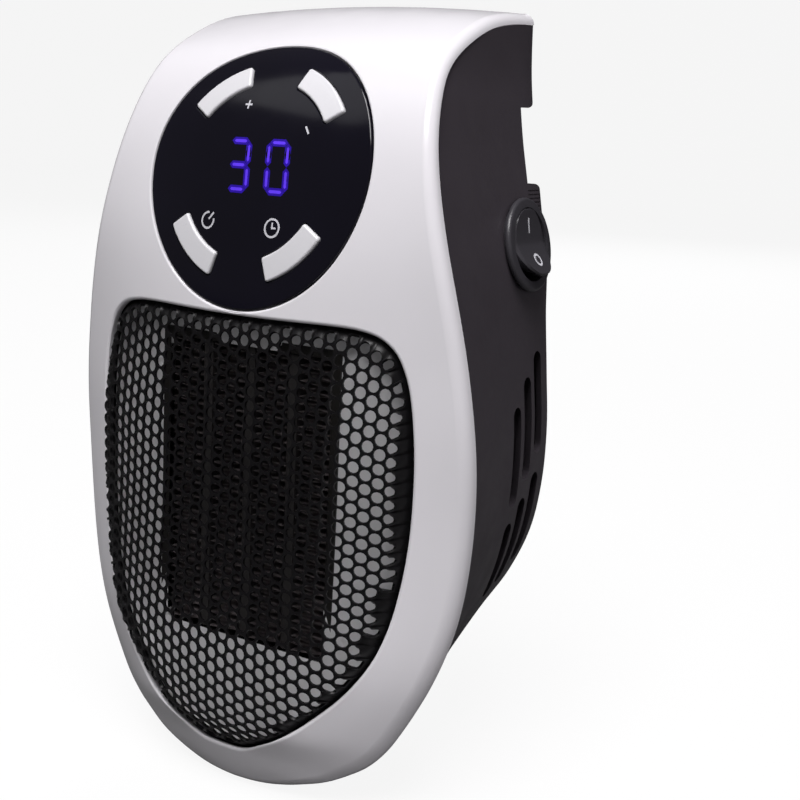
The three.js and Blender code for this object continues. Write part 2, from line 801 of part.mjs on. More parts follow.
// Outline of a key or its opening, moved inwards by an inset.
function keyPoints(name, inset) {
  const middle = THREE.MathUtils.degToRad(keyAngles[name]);
  const half = THREE.MathUtils.degToRad(keySpan / 2);
  const points = [];
  [[keyOuterRadius - inset, 1], [keyInnerRadius + inset, -1]].forEach(([radius, way]) => {
    const turn = half - inset / radius;
    for (let step = 0; step <= keyArcSteps; step += 1) {
      const angle = middle + way * turn * (2 * step / keyArcSteps - 1);
      points.push([radius * Math.cos(angle), lensCentre + radius * Math.sin(angle)]);
    }
  });
  return points;
}

function makeLens() {
  const disc = cut(
    layer(-lensThickness, 0, lensRegion),
    trimTool(circlePoints(lensRadius), 0, fitGap, 1.5 * overrun, lensRadius),
  );
  return cut(disc, ...keyNames.map((name) => openingTool(keyPoints(name, 0))));
}

// Frame of the board behind the lens: across, up along it and out towards the keys.
const [lowKey, highKey] = ['power', 'up'].map((name) => onFace(0, keyPlace(name)[1], 0));
const boardUp = highKey.clone().sub(lowKey).normalize();
const boardOut = new THREE.Vector3(0, -boardUp.z, boardUp.y);
const boardMiddle = lowKey.clone().add(highKey).multiplyScalar(1 / 2).addScaledVector(boardOut, -boardDrop);
const boardPlace = new THREE.Matrix4().makeBasis(new THREE.Vector3(1, 0, 0), boardUp, boardOut);
boardPlace.setPosition(boardMiddle);
const toBoard = boardPlace.clone().invert();

// Rod off the board's face, in the board's own frame.
function rodBoard(radius, x, up, from, to) {
  const rod = new THREE.CylinderGeometry(radius, radius, to - from, screwSides);
  return rod.rotateX(Math.PI / 2).translate(x, up, (from + to) / 2);
}

const plungerTop = tactHeight + tactPlungerHeight;
const keyFoot = plungerTop + keyTravel + fitGap;

function keyOnBoard(name) {
  const [x, along] = keyPlace(name);
  return onFace(x, along, keyRise - keyThickness / 2).applyMatrix4(toBoard);
}

function makeKey(name) {
  const outline = keyPoints(name, keyGap + keyRise).map(([x, along]) => new THREE.Vector2(x, along));
  const cap = new THREE.ExtrudeGeometry(new THREE.Shape(outline), {
    depth: keyThickness - keyRise,
    bevelThickness: keyRise,
    bevelSize: keyRise,
    bevelSegments: 2,
  });
  const middle = keyOnBoard(name);
  const stem = rodBoard(keyStemRadius, middle.x, middle.y, keyFoot, middle.z).applyMatrix4(boardPlace);
  return join(bend(cap.translate(0, 0, keyRise - keyThickness)), stem);
}

function makeKeySwitch(name) {
  const middle = keyOnBoard(name);
  const half = tactWidth / 2;
  const base = block([middle.x - half, middle.y - half, fitGap], [middle.x + half, middle.y + half, tactHeight]);
  const plunger = rodBoard(tactPlungerRadius, middle.x, middle.y, tactHeight - fitGap, plungerTop);
  return join(base, plunger).applyMatrix4(boardPlace);
}

function makeDisplay() {
  const front = onFace(0, lensCentre, -lensThickness - fitGap).applyMatrix4(toBoard);
  const [width, height] = displaySize;
  return block(
    [-width / 2, front.y - height / 2, fitGap],
    [width / 2, front.y + height / 2, front.z - fitGap],
  ).applyMatrix4(boardPlace);
}

function addFront() {
  addPiece('front_shell', makeShell(), finish.whiteGloss);
  addPiece('control_lens', makeLens(), finish.lensBlack);
  keyNames.forEach((name) => {
    addPiece(`key_${name}`, makeKey(name), finish.keyWhite);
    addPiece(`key_switch_${name}`, makeKeySwitch(name), finish.componentBlack);
  });
  const board = block(
    [-boardHalfWidth, -boardHalfHeight, -boardThickness],
    [boardHalfWidth, boardHalfHeight, 0],
  );
  addPiece('display_board', board.applyMatrix4(boardPlace), finish.boardGreen);
  addPiece('display_module', makeDisplay(), finish.componentBlack);
}

// Outlet grille and duct

function isInside([x, along], outline) {
  let inside = false;
  outline.forEach((point, index) => {
    const other = outline[(index + outline.length - 1) % outline.length];
    const crosses = (point[1] > along) !== (other[1] > along);
    const edge = (other[0] - point[0]) * (along - point[1]) / (other[1] - point[1]) + point[0];
    if (crosses && x < edge) inside = !inside;
  });
  return inside;
}

function holeTool(x, along) {
  const hole = new THREE.CylinderGeometry(grilleHoleRadius, grilleHoleRadius, 2 * overrun, grilleHoleSides);
  return hole.rotateY(Math.PI / 6).rotateX(Math.PI / 2).applyMatrix4(faceFrame(x, along));
}

function makeGrille() {
  const points = insetPoints(outletPoints(), grilleGap);
  const region = [outletBottom - overrun, outletTop + overrun, outletHalfWidth + overrun];
  const sheet = formedSheet(points, -grilleInset, grilleWall, grilleSkirt, grilleEdgeRadius, (low, high) => (
    layer(low, high, region)
  ));
  const field = insetPoints(points, grilleBorder);
  const columnStep = grillePitch * Math.sqrt(3) / 2;
  const columns = Math.ceil(outletHalfWidth / columnStep);
  const rows = Math.ceil((outletTop - outletBottom) / grillePitch);
  const holes = [];
  for (let column = -columns; column <= columns; column += 1) {
    for (let row = 0; row <= rows; row += 1) {
      const x = column * columnStep;
      const along = outletTop - (row + (column % 2 === 0 ? 1 : 1 / 2)) * grillePitch;
      if (isInside([x, along], field)) holes.push(holeTool(x, along));
    }
  }
  return cut(sheet, ...holes);
}

// Points of a closed outline in even directions from a centre.
function radial(points, centre) {
  const places = [];
  for (let step = 0; step < ductSteps; step += 1) {
    const angle = (step + 1 / 2) / ductSteps * 2 * Math.PI;
    const [dx, dz] = [Math.cos(angle), Math.sin(angle)];
    let reach = 0;
    points.forEach((point, index) => {
      const next = points[(index + 1) % points.length];
      const [ax, az] = [point[0] - centre[0], point[1] - centre[1]];
      const [ex, ez] = [next[0] - point[0], next[1] - point[1]];
      const spread = dx * ez - dz * ex;
      if (Math.abs(spread) > Number.EPSILON) {
        const distance = (ax * ez - az * ex) / spread;
        const share = (ax * dz - az * dx) / spread;
        if (share >= 0 && share <= 1 && distance > reach) reach = distance;
      }
    });
    places.push([centre[0] + dx * reach, centre[1] + dz * reach]);
  }
  return places;
}

function windowPoints(margin) {
  const half = windowHalfWidth + margin;
  const [low, high] = [windowBottom - margin, windowTop + margin];
  return [[-half, low], [half, low], [half, high], [-half, high]];
}

function makeDuct() {
  const out = -grilleInset - grilleSkirt - ductGap;
  const middle = (windowBottom + windowTop) / 2;
  const faceMiddle = (outletBottom + outletTop) / 2;
  const outline = radial(insetPoints(outletPoints(), grilleGap), [0, faceMiddle]);
  const window = radial(windowPoints(0), [0, middle]);
  const front = (level) => outline.map(([x, along]) => onFace(x, along, level));
  const rear = (depth) => window.map(([x, z]) => new THREE.Vector3(x, depth, z));
  const funnel = skin([
    front(out), rear(windowFront), rear(windowFront + ductWall), front(out - ductWall),
  ], true);
  const [half, margin] = [windowHalfWidth + frameWall + fitGap, frameWall + fitGap];
  const [low, high] = [windowBottom - margin, windowTop + margin];
  return cut(funnel, block([-half, -bellyBulge, low], [half, bodyDepth, high]));
}

// Heating element

function makeElementFrame() {
  const [low, high] = [windowBottom, windowTop];
  const outer = windowHalfWidth + frameWall;
  return cut(
    block([-outer, windowFront, low - frameWall], [outer, elementRear, high + frameWall]),
    block([-windowHalfWidth, windowFront - overrun, low], [windowHalfWidth, elementRear + overrun, high]),
  );
}

// Corrugated strip that fills the width between two bars.
function makeFins(left, right) {
  const [low, high] = [windowBottom + 2 * partGap, windowTop - 2 * partGap];
  const step = (high - low) / finFolds;
  const fold = [];
  for (let index = 0; index <= finFolds; index += 1) {
    fold.push([index % 2 === 0 ? left : right - finThickness, low + index * step]);
  }
  const points = [...fold, ...fold.slice().reverse().map(([x, z]) => [x + finThickness, z])];
  const shape = new THREE.Shape(points.map(([x, z]) => new THREE.Vector2(x, z)));
  const depth = elementRear - windowFront - 4 * partGap;
  const strip = new THREE.ExtrudeGeometry(shape, { depth, bevelEnabled: false });
  return strip.rotateX(Math.PI / 2).translate(0, elementRear - 2 * partGap, 0);
}

function addElement() {
  addPiece('element_frame', makeElementFrame(), finish.mica);
  const columns = ceramicBars + 1;
  const finWidth = (2 * windowHalfWidth - ceramicBars * ceramicBarWidth) / columns;
  const pitch = finWidth + ceramicBarWidth;
  for (let column = 0; column < columns; column += 1) {
    const left = -windowHalfWidth + column * pitch;
    const fins = makeFins(left + partGap, left + finWidth - partGap);
    addPiece(`heater_fins_${column + 1}`, fins, finish.aluminium);
    if (column < ceramicBars) {
      const bar = block(
        [left + finWidth, windowFront + 2 * partGap, windowBottom + partGap],
        [left + pitch, elementRear - 2 * partGap, windowTop - partGap],
      );
      addPiece(`ceramic_bar_${column + 1}`, bar, finish.ceramic);
    }
  }
  const top = windowTop + frameWall + fitGap;
  const middle = (windowFront + elementRear) / 2;
  const cutout = new THREE.CylinderGeometry(cutoutRadius, cutoutRadius, cutoutHeight, 2 * screwSides);
  const cutoutDepth = windowFront + ductWall + cutoutGap + cutoutRadius;
  cutout.rotateX(Math.PI / 2).translate(-windowHalfWidth / 2, cutoutDepth, top + cutoutHeight / 2);
  addPiece('thermal_cutout', cutout, finish.steel);
  const fuse = new THREE.CylinderGeometry(fuseRadius, fuseRadius, fuseLength, screwSides);
  fuse.rotateZ(Math.PI / 2).translate(windowHalfWidth / 2, middle, top + fuseRadius);
  addPiece('thermal_fuse', fuse, finish.paleGrey);
}

// Fan

function makeShroud() {
  const inner = wheelRadius + shroudGap;
  const middle = inner + shroudWall / 2;
  const parts = [rodY(motorPlateRadius, 0, fanHeight, shroudPlate, shroudRear, lensSides / 2)];
  for (let arm = 0; arm < shroudArms; arm += 1) {
    const bar = block([0, shroudPlate, -armWidth / 2], [middle, shroudRear, armWidth / 2]);
    parts.push(bar.rotateY((arm / shroudArms + 1 / 4) * 2 * Math.PI).translate(0, 0, fanHeight));
  }
  bothSides.forEach((side) => {
    const [near, far] = [side * middle, side * (shroudEarReach + powerPostRadius)].sort((a, b) => a - b);
    parts.push(block(
      [near, shroudPlate, fanHeight - shroudEarHalf],
      [far, shroudRear, fanHeight + shroudEarHalf],
    ));
  });
  const ring = ringY(inner + shroudWall, inner, 0, fanHeight, wheelFront - fitGap, shroudRear);
  const bores = [rodY(shaftRadius + shaftGap, 0, fanHeight, wheelFront, bodyDepth)];
  fanPosts.forEach(([x, z]) => bores.push(rodY(screwShankRadius + fitGap, x, z, wheelFront, bodyDepth)));
  return cut(join(ring, ...parts), ...bores);
}

// Blade along X whose pitch eases off from root to tip.
function makeBlade() {
  const reach = wheelRadius - wheelHubRadius + bladeRoot;
  const blade = new THREE.BoxGeometry(reach, bladeThickness, bladeChord, bladeSteps, 1, 1);
  const position = blade.attributes.position;
  for (let i = 0; i < position.count; i += 1) {
    const share = position.getX(i) / reach + 1 / 2;
    const twist = THREE.MathUtils.degToRad(THREE.MathUtils.lerp(bladeTwist[0], bladeTwist[1], share));
    const point = new THREE.Vector3().fromBufferAttribute(position, i);
    point.applyAxisAngle(new THREE.Vector3(1, 0, 0), twist);
    position.setXYZ(i, point.x, point.y, point.z);
  }
  return blade.translate(wheelHubRadius - bladeRoot + reach / 2, 0, 0);
}

function makeWheel() {
  const hub = rodY(wheelHubRadius, 0, 0, wheelFront, wheelRear, 2 * screwSides);
  const middle = (wheelFront + wheelRear) / 2;
  const blades = [];
  for (let index = 0; index < wheelBlades; index += 1) {
    blades.push(makeBlade().rotateY(index / wheelBlades * 2 * Math.PI).translate(0, middle, 0));
  }
  const bore = rodY(shaftRadius + fitGap, 0, 0, wheelFront + housingWall, wheelRear + overrun);
  return cut(join(hub, ...blades), bore).translate(0, 0, fanHeight);
}

function addFan() {
  addPiece('fan_shroud', makeShroud(), finish.componentBlack);
  addPiece('fan_wheel', makeWheel(), finish.fanGrey);
  const motor = join(
    rodY(motorRadius, 0, fanHeight, shroudRear + fitGap, motorRear, lensSides / 2),
    rodY(shaftRadius, 0, fanHeight, wheelFront + housingWall + fitGap, shroudRear + shaftGap),
  );
  addPiece('fan_motor', motor, finish.steel);
  fanPosts.forEach(([x, z], index) => {
    const screw = frontScrew(x, z, shroudPlate, armThickness + shortScrewLength);
    addPiece(`fan_screw_${index + 1}`, screw, finish.steel);
  });
}

// Plug

function makeDisc() {
  const body = rodY(plugDiscRadius, 0, plugHeight, pocketFloor + fitGap, discFace, plugDiscSides);
  const hub = rodY(plugHubRadius, 0, plugHeight, floorInside, pocketFloor + 2 * fitGap, lensSides);
  const tools = [];
  for (let flute = 0; flute < plugFlutes; flute += 1) {
    const angle = (flute + 1 / 2) / plugFlutes * 2 * Math.PI;
    const [x, z] = [plugDiscRadius * Math.cos(angle), plugHeight + plugDiscRadius * Math.sin(angle)];
    tools.push(rodY(plugFluteRadius, x, z, pocketFloor, discFace - housingWall, screwSides / 2));
  }
  bothSides.forEach((side) => {
    const [pinX, screwZ] = [side * pinHalfSpacing, plugHeight + side * retainerScrewReach];
    tools.push(rodY(pinRadius + fitGap, pinX, plugHeight, floorInside - overrun, discFace + overrun, pinSides));
    tools.push(rodY(screwShankRadius + fitGap, 0, screwZ, floorInside - overrun, floorInside + shortScrewLength));
  });
  return cut(join(body, hub), ...tools);
}

function makeRetainer() {
  const tools = [];
  const front = retainerFront - overrun;
  bothSides.forEach((side) => {
    const [pinX, screwZ] = [side * pinHalfSpacing, plugHeight + side * retainerScrewReach];
    tools.push(rodY(pinHeadRadius + fitGap, pinX, plugHeight, front, floorInside, pinSides));
    tools.push(rodY(screwShankRadius + fitGap, 0, screwZ, front, floorInside));
  });
  return cut(rodY(retainerRadius, 0, plugHeight, retainerFront, retainerRear, lensSides), ...tools);
}

function makePin(side) {
  const x = side * pinHalfSpacing;
  const tip = discFace + pinLength;
  const nose = pinRadius / 2;
  return join(
    rodY(pinRadius, x, plugHeight, retainerFront, tip - nose, pinSides),
    new THREE.CylinderGeometry(pinRadius / 2, pinRadius, nose, pinSides).translate(x, tip - nose / 2, plugHeight),
    rodY(pinHeadRadius, x, plugHeight, retainerFront, retainerRear, pinSides),
  );
}

// Spring leaf from a pin's head to its ring track.
function makeLeaf(side, trackRadius) {
  const foot = retainerFront - fitGap;
  const half = leafWidth / 2;
  const [pinX, trackX] = [side * pinHalfSpacing, side * trackRadius];
  const [near, far] = [Math.min(pinX, trackX) - half, Math.max(pinX, trackX) + half];
  return join(
    block([near, foot - terminalThickness, plugHeight - half], [far, foot, plugHeight + half]),
    block([trackX - half, trackRear + fitGap, plugHeight - half], [trackX + half, foot, plugHeight + half]),
  );
}

function makeCarrier() {
  const cup = cut(
    rodY(carrierRadius, 0, plugHeight, carrierFront, carrierRear, lensSides),
    rodY(carrierRadius - carrierWall, 0, plugHeight, carrierFront + carrierWall, bodyDepth, lensSides),
  );
  const ears = carrierEars.map(([x, z]) => {
    const arm = block(
      [carrierRadius - carrierWall / 2, earFront, -carrierEarRadius],
      [carrierEarReach, carrierRear, carrierEarRadius],
    );
    const turned = arm.rotateY(-Math.atan2(z - plugHeight, x)).translate(0, 0, plugHeight);
    return join(rodY(carrierEarRadius, x, z, earFront, carrierRear), turned);
  });
  const bores = carrierEars.map(([x, z]) => rodY(screwShankRadius + fitGap, x, z, carrierFront, bodyDepth));
  return cut(join(cup, ...ears), ...bores);
}

function addPlug() {
  addPiece('plug_disc', makeDisc(), finish.charcoal);
  addPiece('plug_retainer', makeRetainer(), finish.componentBlack);
  addPiece('contact_carrier', makeCarrier(), finish.paleGrey);
  const trackFront = trackRear - trackThickness;
  bothSides.forEach((side, index) => {
    const radius = trackRadii[index];
    const [outer, inner] = [radius + trackWidth / 2, radius - trackWidth / 2];
    addPiece(`plug_pin_${index + 1}`, makePin(side), finish.brass);
    const track = ringY(outer, inner, 0, plugHeight, trackFront, trackRear, lensSides / 2);
    addPiece(`contact_track_${index + 1}`, track, finish.brass);
    addPiece(`contact_leaf_${index + 1}`, makeLeaf(side, radius), finish.copper);
    const screwZ = plugHeight + side * retainerScrewReach;
    const retainerScrew = frontScrew(0, screwZ, retainerFront, retainerThickness + shortScrewLength - fitGap);
    addPiece(`retainer_screw_${index + 1}`, retainerScrew, finish.steel);
    const [x, z] = carrierEars[index];
    const screw = frontScrew(x, z, earFront, carrierWall + shortScrewLength);
    addPiece(`carrier_screw_${index + 1}`, screw, finish.steel);
  });
}

// Rocker switch

function makeSwitchBody() {
  const flange = rodOut(switchBezelRadius, fitGap, switchBezelThickness);
  const barrel = rodOut(switchBodyRadius, -switchBodyDepth, switchBezelThickness - fitGap);
  const room = rodOut(rockerRadius + rockerGap, -rockerRoom, overrun);
  return cut(join(flange, barrel), room).applyMatrix4(switchPlace);
}

function makeRocker() {
  const points = [
    [-rockerDepth, -rockerRadius / 2],
    [rockerProud, -rockerRadius],
    [rockerWaist, 0],
    [rockerProud, rockerRadius],
    [-rockerDepth, rockerRadius / 2],
  ];
  const shape = new THREE.Shape(points.map(([out, up]) => new THREE.Vector2(out, up)));
  const profile = new THREE.ExtrudeGeometry(shape, { depth: 2 * rockerRadius, bevelEnabled: false });
  profile.translate(0, 0, -rockerRadius).rotateX(Math.PI / 2);
  const body = common(profile, rodOut(rockerRadius, -overrun, overrun));
  return body.rotateY(THREE.MathUtils.degToRad(rockerTilt)).applyMatrix4(switchPlace);
}

function addSwitch() {
  addPiece('switch_body', makeSwitchBody(), finish.switchBlack);
  addPiece('switch_rocker', makeRocker(), finish.switchBlack);
  const far = -switchBodyDepth - fitGap;
  bothSides.forEach((side, index) => {
    const up = side * switchBodyRadius / 2;
    const tab = block(
      [far - terminalReach, -terminalWidth / 2, up - terminalThickness / 2],
      [far, terminalWidth / 2, up + terminalThickness / 2],
    );
    addPiece(`switch_terminal_${index + 1}`, tab.applyMatrix4(switchPlace), finish.brass);
  });
}

// Power board

function addPower() {
  const front = boardRear - boardThickness;
  const holes = powerPosts.map(([x, z]) => (
    rodY(screwShankRadius + fitGap, x, z, front - overrun, boardRear + overrun)
  ));
  const board = cut(
    block([-powerBoardHalfWidth, front, powerBoardLow], [powerBoardHalfWidth, boardRear, powerBoardHigh]),
    ...holes,
  );
  addPiece('power_board', board, finish.boardGreen);
  const onBoard = ([width, depth, height], x) => block(
    [x - width / 2, front - fitGap - depth, powerBoardMiddle - height / 2],
    [x + width / 2, front - fitGap, powerBoardMiddle + height / 2],
  );
  addPiece('relay', onBoard(relaySize, -(relaySize[0] + componentGap) / 2), finish.relayBlue);
  addPiece('capacitor', onBoard(capacitorSize, (capacitorSize[0] + componentGap) / 2), finish.capacitorYellow);
  powerPosts.forEach(([x, z], index) => {
    const screw = frontScrew(x, z, front, boardThickness + shortScrewLength);
    addPiece(`board_screw_${index + 1}`, screw, finish.steel);
  });
}

function addHousing() {
  addPiece('rear_housing', makeHousing(), finish.charcoal);
  housingScrews.forEach(([x, z, meet], index) => {
    addPiece(`housing_screw_${index + 1}`, rearScrew(x, z, meet + housingWall + fitGap), finish.steel);
  });
}

addFront();
addPiece('outlet_grille', makeGrille(), finish.grilleBlack);
addPiece('outlet_duct', makeDuct(), finish.paleGrey);
addElement();
addFan();
addHousing();
addPlug();
addSwitch();
addPower();

export default heater;
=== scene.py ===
"""Plug-in ceramic fan heater: the looks of each piece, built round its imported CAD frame."""
import json
import math

import bmesh
import bpy
import numpy as np
from bpy.props import FloatProperty, FloatVectorProperty, IntProperty, PointerProperty
from mathutils import Matrix, Vector
from mathutils.geometry import delaunay_2d_cdt


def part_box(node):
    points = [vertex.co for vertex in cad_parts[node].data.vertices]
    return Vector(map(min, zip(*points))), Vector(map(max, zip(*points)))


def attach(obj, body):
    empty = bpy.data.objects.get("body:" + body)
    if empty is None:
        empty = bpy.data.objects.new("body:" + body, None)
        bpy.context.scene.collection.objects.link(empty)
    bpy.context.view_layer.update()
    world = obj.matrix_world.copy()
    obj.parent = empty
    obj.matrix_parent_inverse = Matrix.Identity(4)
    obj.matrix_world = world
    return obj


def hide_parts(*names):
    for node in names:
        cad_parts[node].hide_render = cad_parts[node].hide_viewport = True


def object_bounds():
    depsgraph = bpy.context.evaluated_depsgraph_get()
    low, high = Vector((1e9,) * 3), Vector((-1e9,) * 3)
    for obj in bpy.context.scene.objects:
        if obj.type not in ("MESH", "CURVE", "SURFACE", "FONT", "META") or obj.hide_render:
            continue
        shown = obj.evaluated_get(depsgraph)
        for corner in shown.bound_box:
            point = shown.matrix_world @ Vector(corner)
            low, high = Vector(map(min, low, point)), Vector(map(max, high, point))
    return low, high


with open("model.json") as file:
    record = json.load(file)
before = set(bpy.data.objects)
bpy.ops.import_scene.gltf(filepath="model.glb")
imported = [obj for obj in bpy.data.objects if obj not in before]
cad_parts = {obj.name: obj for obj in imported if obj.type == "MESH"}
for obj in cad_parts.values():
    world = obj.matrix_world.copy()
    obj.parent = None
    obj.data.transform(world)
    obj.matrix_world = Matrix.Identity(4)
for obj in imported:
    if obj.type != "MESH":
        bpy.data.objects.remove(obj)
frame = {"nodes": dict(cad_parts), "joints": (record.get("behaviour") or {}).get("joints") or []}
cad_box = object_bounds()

bl_info = {
    "name": "Plug-in ceramic heater",
    "version": (1, 0, 0),
    "blender": (4, 5, 0),
    "location": "View3D > Sidebar > Heater",
    "description": "Builds a small plug-in ceramic fan heater, piece by piece",
    "category": "Object",
}

MM = 0.001


def length(name, description, millimetres):
    """A length that the user may change, kept in metres."""
    return FloatProperty(name=name, description=description, default=millimetres * MM,
                         min=0.0, subtype="DISTANCE", unit="LENGTH", precision=5)


def colour(name, description, red, green, blue):
    """A colour that the user may change, in linear values."""
    return FloatVectorProperty(name=name, description=description, subtype="COLOR", size=3,
                               min=0.0, max=1.0, default=(red, green, blue))


class HeaterBodySizes(bpy.types.PropertyGroup):
    """Sizes of the front shell and the rear housing."""
    height: length("Height", "Height of the front, from the rim's tip to its top", 174.9)
    half_width: length("Half width", "Half of the greatest width", 52.8)
    depth: length("Depth", "From the waist of the front to the rear wall", 51.5)
    wall: length("Shell wall", "Thickness of the front shell", 2.2)
    rim_depth: length("Rim depth", "How far the shell's rim turns inwards", 3.2)
    edge: length("Rim radius", "Rounding of the shell's rim", 2.2)
    housing_wall: length("Housing wall", "Thickness of the rear housing", 2.0)
    housing_edge: length("Housing edge", "Rounding of the housing's rear edge", 2.5)
    gap: length("Gap", "Gap between neighbouring pieces", 0.3)
    mesh_step: length("Mesh step", "Distance between mesh points on the shell", 1.7)


class HeaterFrontSizes(bpy.types.PropertyGroup):
    """Sizes of the control lens, its keys and its marks."""
    lens_radius: length("Lens radius", "Radius of the control lens", 28.4)
    lens_thickness: length("Lens thickness", "Thickness of the control lens", 1.9)
    key_inner: length("Key inner radius", "Inner radius of the arc keys", 18.2)
    key_outer: length("Key outer radius", "Outer radius of the arc keys", 23.6)
    key_span: FloatProperty(name="Key span", description="Angle that each key covers",
                            default=math.radians(39), subtype="ANGLE", unit="ROTATION")
    key_gap: length("Key gap", "Gap round each key", 0.2)
    key_rise: length("Key rise", "How far the keys stand proud of the lens", 0.5)
    digit_height: length("Digit height", "Height of the lit digits", 11.0)


class HeaterGrilleSizes(bpy.types.PropertyGroup):
    """Sizes of the outlet's perforated sheet and of the heating element behind it."""
    pitch: length("Hole pitch", "Distance between neighbouring holes", 3.0)
    hole: length("Hole radius", "Radius of each hole", 1.27)
    sheet: length("Sheet", "Thickness of the perforated sheet", 0.6)
    roll: length("Edge roll", "Radius of the sheet's rolled edge", 1.3)
    shoulder: length("Shoulder", "How far the sheet stands out beside its edge", 2.4)
    skirt: length("Skirt", "Depth of the sheet's turned edge", 3.4)
    fin_folds: IntProperty(name="Fin folds", description="Folds of each fin strip", default=78, min=4)
    fin_sheet: length("Fin sheet", "Thickness of the folded fins", 0.2)


class HeaterColours(bpy.types.PropertyGroup):
    """Colours of the finishes."""
    shell: colour("Shell", "Glossy front shell", 0.80, 0.785, 0.815)
    lens: colour("Lens", "Control lens", 0.0035, 0.0028, 0.0075)
    keys: colour("Keys", "Arc keys", 0.72, 0.715, 0.74)
    housing: colour("Housing", "Rear housing", 0.050, 0.043, 0.051)
    switch: colour("Switch", "Rocker switch", 0.040, 0.038, 0.044)
    grille: colour("Grille", "Perforated sheet", 0.0042, 0.0038, 0.0044)
    funnel: colour("Funnel", "Outlet duct", 0.90, 0.895, 0.91)
    digits: colour("Digits", "Light of the digits", 0.062, 0.022, 0.46)
    floor: colour("Floor", "Floor and backdrop", 0.86, 0.86, 0.86)


# The front's shape, as the solids have it

# Side profile of the front's middle line: shares of depth and height
PROFILE = (
    (-0.026, 0.0), (-0.031, 0.018), (-0.024, 0.033), (-0.01, 0.048), (0.014, 0.066), (0.027, 0.092),
    (0.047, 0.186), (0.078, 0.281), (0.08, 0.393), (0.039, 0.543), (-0.005, 0.704), (0.016, 0.782),
    (0.054, 0.83), (0.111, 0.871), (0.171, 0.901), (0.245, 0.924), (0.377, 0.948), (0.583, 0.974),
    (0.777, 0.985), (1.0, 0.99),
)
# Half-width along the profile, and the forward bulge along it, as shares
OUTLINE = (
    (0.0, 0.0), (0.001, 0.117), (0.006, 0.229), (0.015, 0.337), (0.026, 0.438), (0.041, 0.53),
    (0.057, 0.617), (0.078, 0.695), (0.107, 0.765), (0.135, 0.824), (0.161, 0.873), (0.223, 0.951),
    (0.28, 0.985), (0.337, 1.0), (0.399, 1.0), (0.466, 0.973), (0.53, 0.93), (0.583, 0.883),
    (0.628, 0.839), (0.671, 0.799), (0.713, 0.765), (0.751, 0.739), (0.806, 0.71), (0.892, 0.7),
    (1.0, 0.69),
)
GREATEST_BULGE = 14.8 * MM
BULGE = (
    (0.0, 0.014), (0.001, 0.054), (0.006, 0.128), (0.015, 0.209), (0.026, 0.318), (0.041, 0.5),
    (0.057, 0.703), (0.078, 0.872), (0.107, 0.95), (0.161, 1.0), (0.223, 1.0), (0.28, 0.953),
    (0.337, 0.872), (0.399, 0.757), (0.466, 0.622), (0.53, 0.486), (0.583, 0.351), (0.628, 0.236),
    (0.671, 0.152), (0.713, 0.101), (0.751, 0.095), (0.849, 0.115), (1.0, 0.115),
)
# Outlet opening from its lowest middle up the right side: shares of half-width and height
OUTLET = (
    (0.0, 0.0), (0.149, 0.005), (0.284, 0.035), (0.41, 0.079), (0.559, 0.137), (0.723, 0.209),
    (0.844, 0.285), (0.912, 0.361), (0.957, 0.452), (0.986, 0.55), (0.998, 0.659), (0.995, 0.766),
    (0.969, 0.868), (0.936, 0.92), (0.889, 0.958), (0.813, 0.984), (0.711, 0.996), (0.6, 1.0),
    (0.149, 1.0),
)
OUTLET_HALF_WIDTH, OUTLET_BOTTOM, OUTLET_TOP = 42.2 * MM, 8.9 * MM, 108.1 * MM
# The lens centre as a share of the profile's length, and the ledge that the lens sits on
LENS_CENTRE_SHARE = 0.666
LEDGE_WIDTH, LEDGE_DEPTH = 2.2 * MM, 1.4 * MM
BOSS_WALL = 1.5 * MM
# The housing's outline at its front and on its rear face: shares of half-width and height
HOUSING = (
    ((0.0, -0.004), (0.0, 0.046)), ((0.229, 0.007), (0.18, 0.053)), ((0.438, 0.029), (0.331, 0.072)),
    ((0.617, 0.067), (0.445, 0.1)), ((0.765, 0.123), (0.503, 0.131)), ((0.873, 0.186), (0.637, 0.198)),
    ((0.951, 0.257), (0.764, 0.256)), ((0.985, 0.325), (0.858, 0.32)), ((1.0, 0.393), (0.9, 0.389)),
    ((0.999, 0.465), (0.907, 0.463)), ((0.973, 0.543), (0.888, 0.537)), ((0.93, 0.618), (0.866, 0.614)),
    ((0.883, 0.681), (0.855, 0.677)), ((0.839, 0.732), (0.819, 0.737)), ((0.799, 0.782), (0.792, 0.783)),
    ((0.765, 0.83), (0.761, 0.832)), ((0.739, 0.871), (0.741, 0.874)), ((0.706, 0.926), (0.723, 0.926)),
    ((0.695, 1.106), (0.71, 1.106)),
)
# Each air slot's centre, as shares of depth and height, and its share of the full length
SLOTS = (
    (0.61, 0.442, 0.97), (0.73, 0.473, 1), (0.848, 0.502, 1),
    (0.61, 0.304, 0.78), (0.73, 0.322, 0.9), (0.848, 0.347, 0.94),
)
SLOT_WIDTH, SLOT_LENGTH = 4.3 * MM, 23.2 * MM
PLUG_HEIGHT, DISC_RADIUS, DISC_PROUD = 144.5 * MM, 24.2 * MM, 2.5 * MM
POCKET_DEPTH, HUB_RADIUS, NOTCH_HALF = 7.8 * MM, 15.0 * MM, 8.25 * MM
PIN_SPACING, PIN_RADIUS, PIN_LENGTH, PIN_HEAD = 9.5 * MM, 2.4 * MM, 19.0 * MM, 3.4 * MM
RETAINER_THICKNESS, RETAINER_REACH = 2.0 * MM, 10.5 * MM
# Fine grip lines below the finger notches
GRIPS, GRIP_START, GRIP_STEP = 6, 1.5 * MM, 0.85 * MM
GRIP_LENGTH, GRIP_WIDTH, GRIP_DEPTH = 8.0 * MM, 0.34 * MM, 0.2 * MM
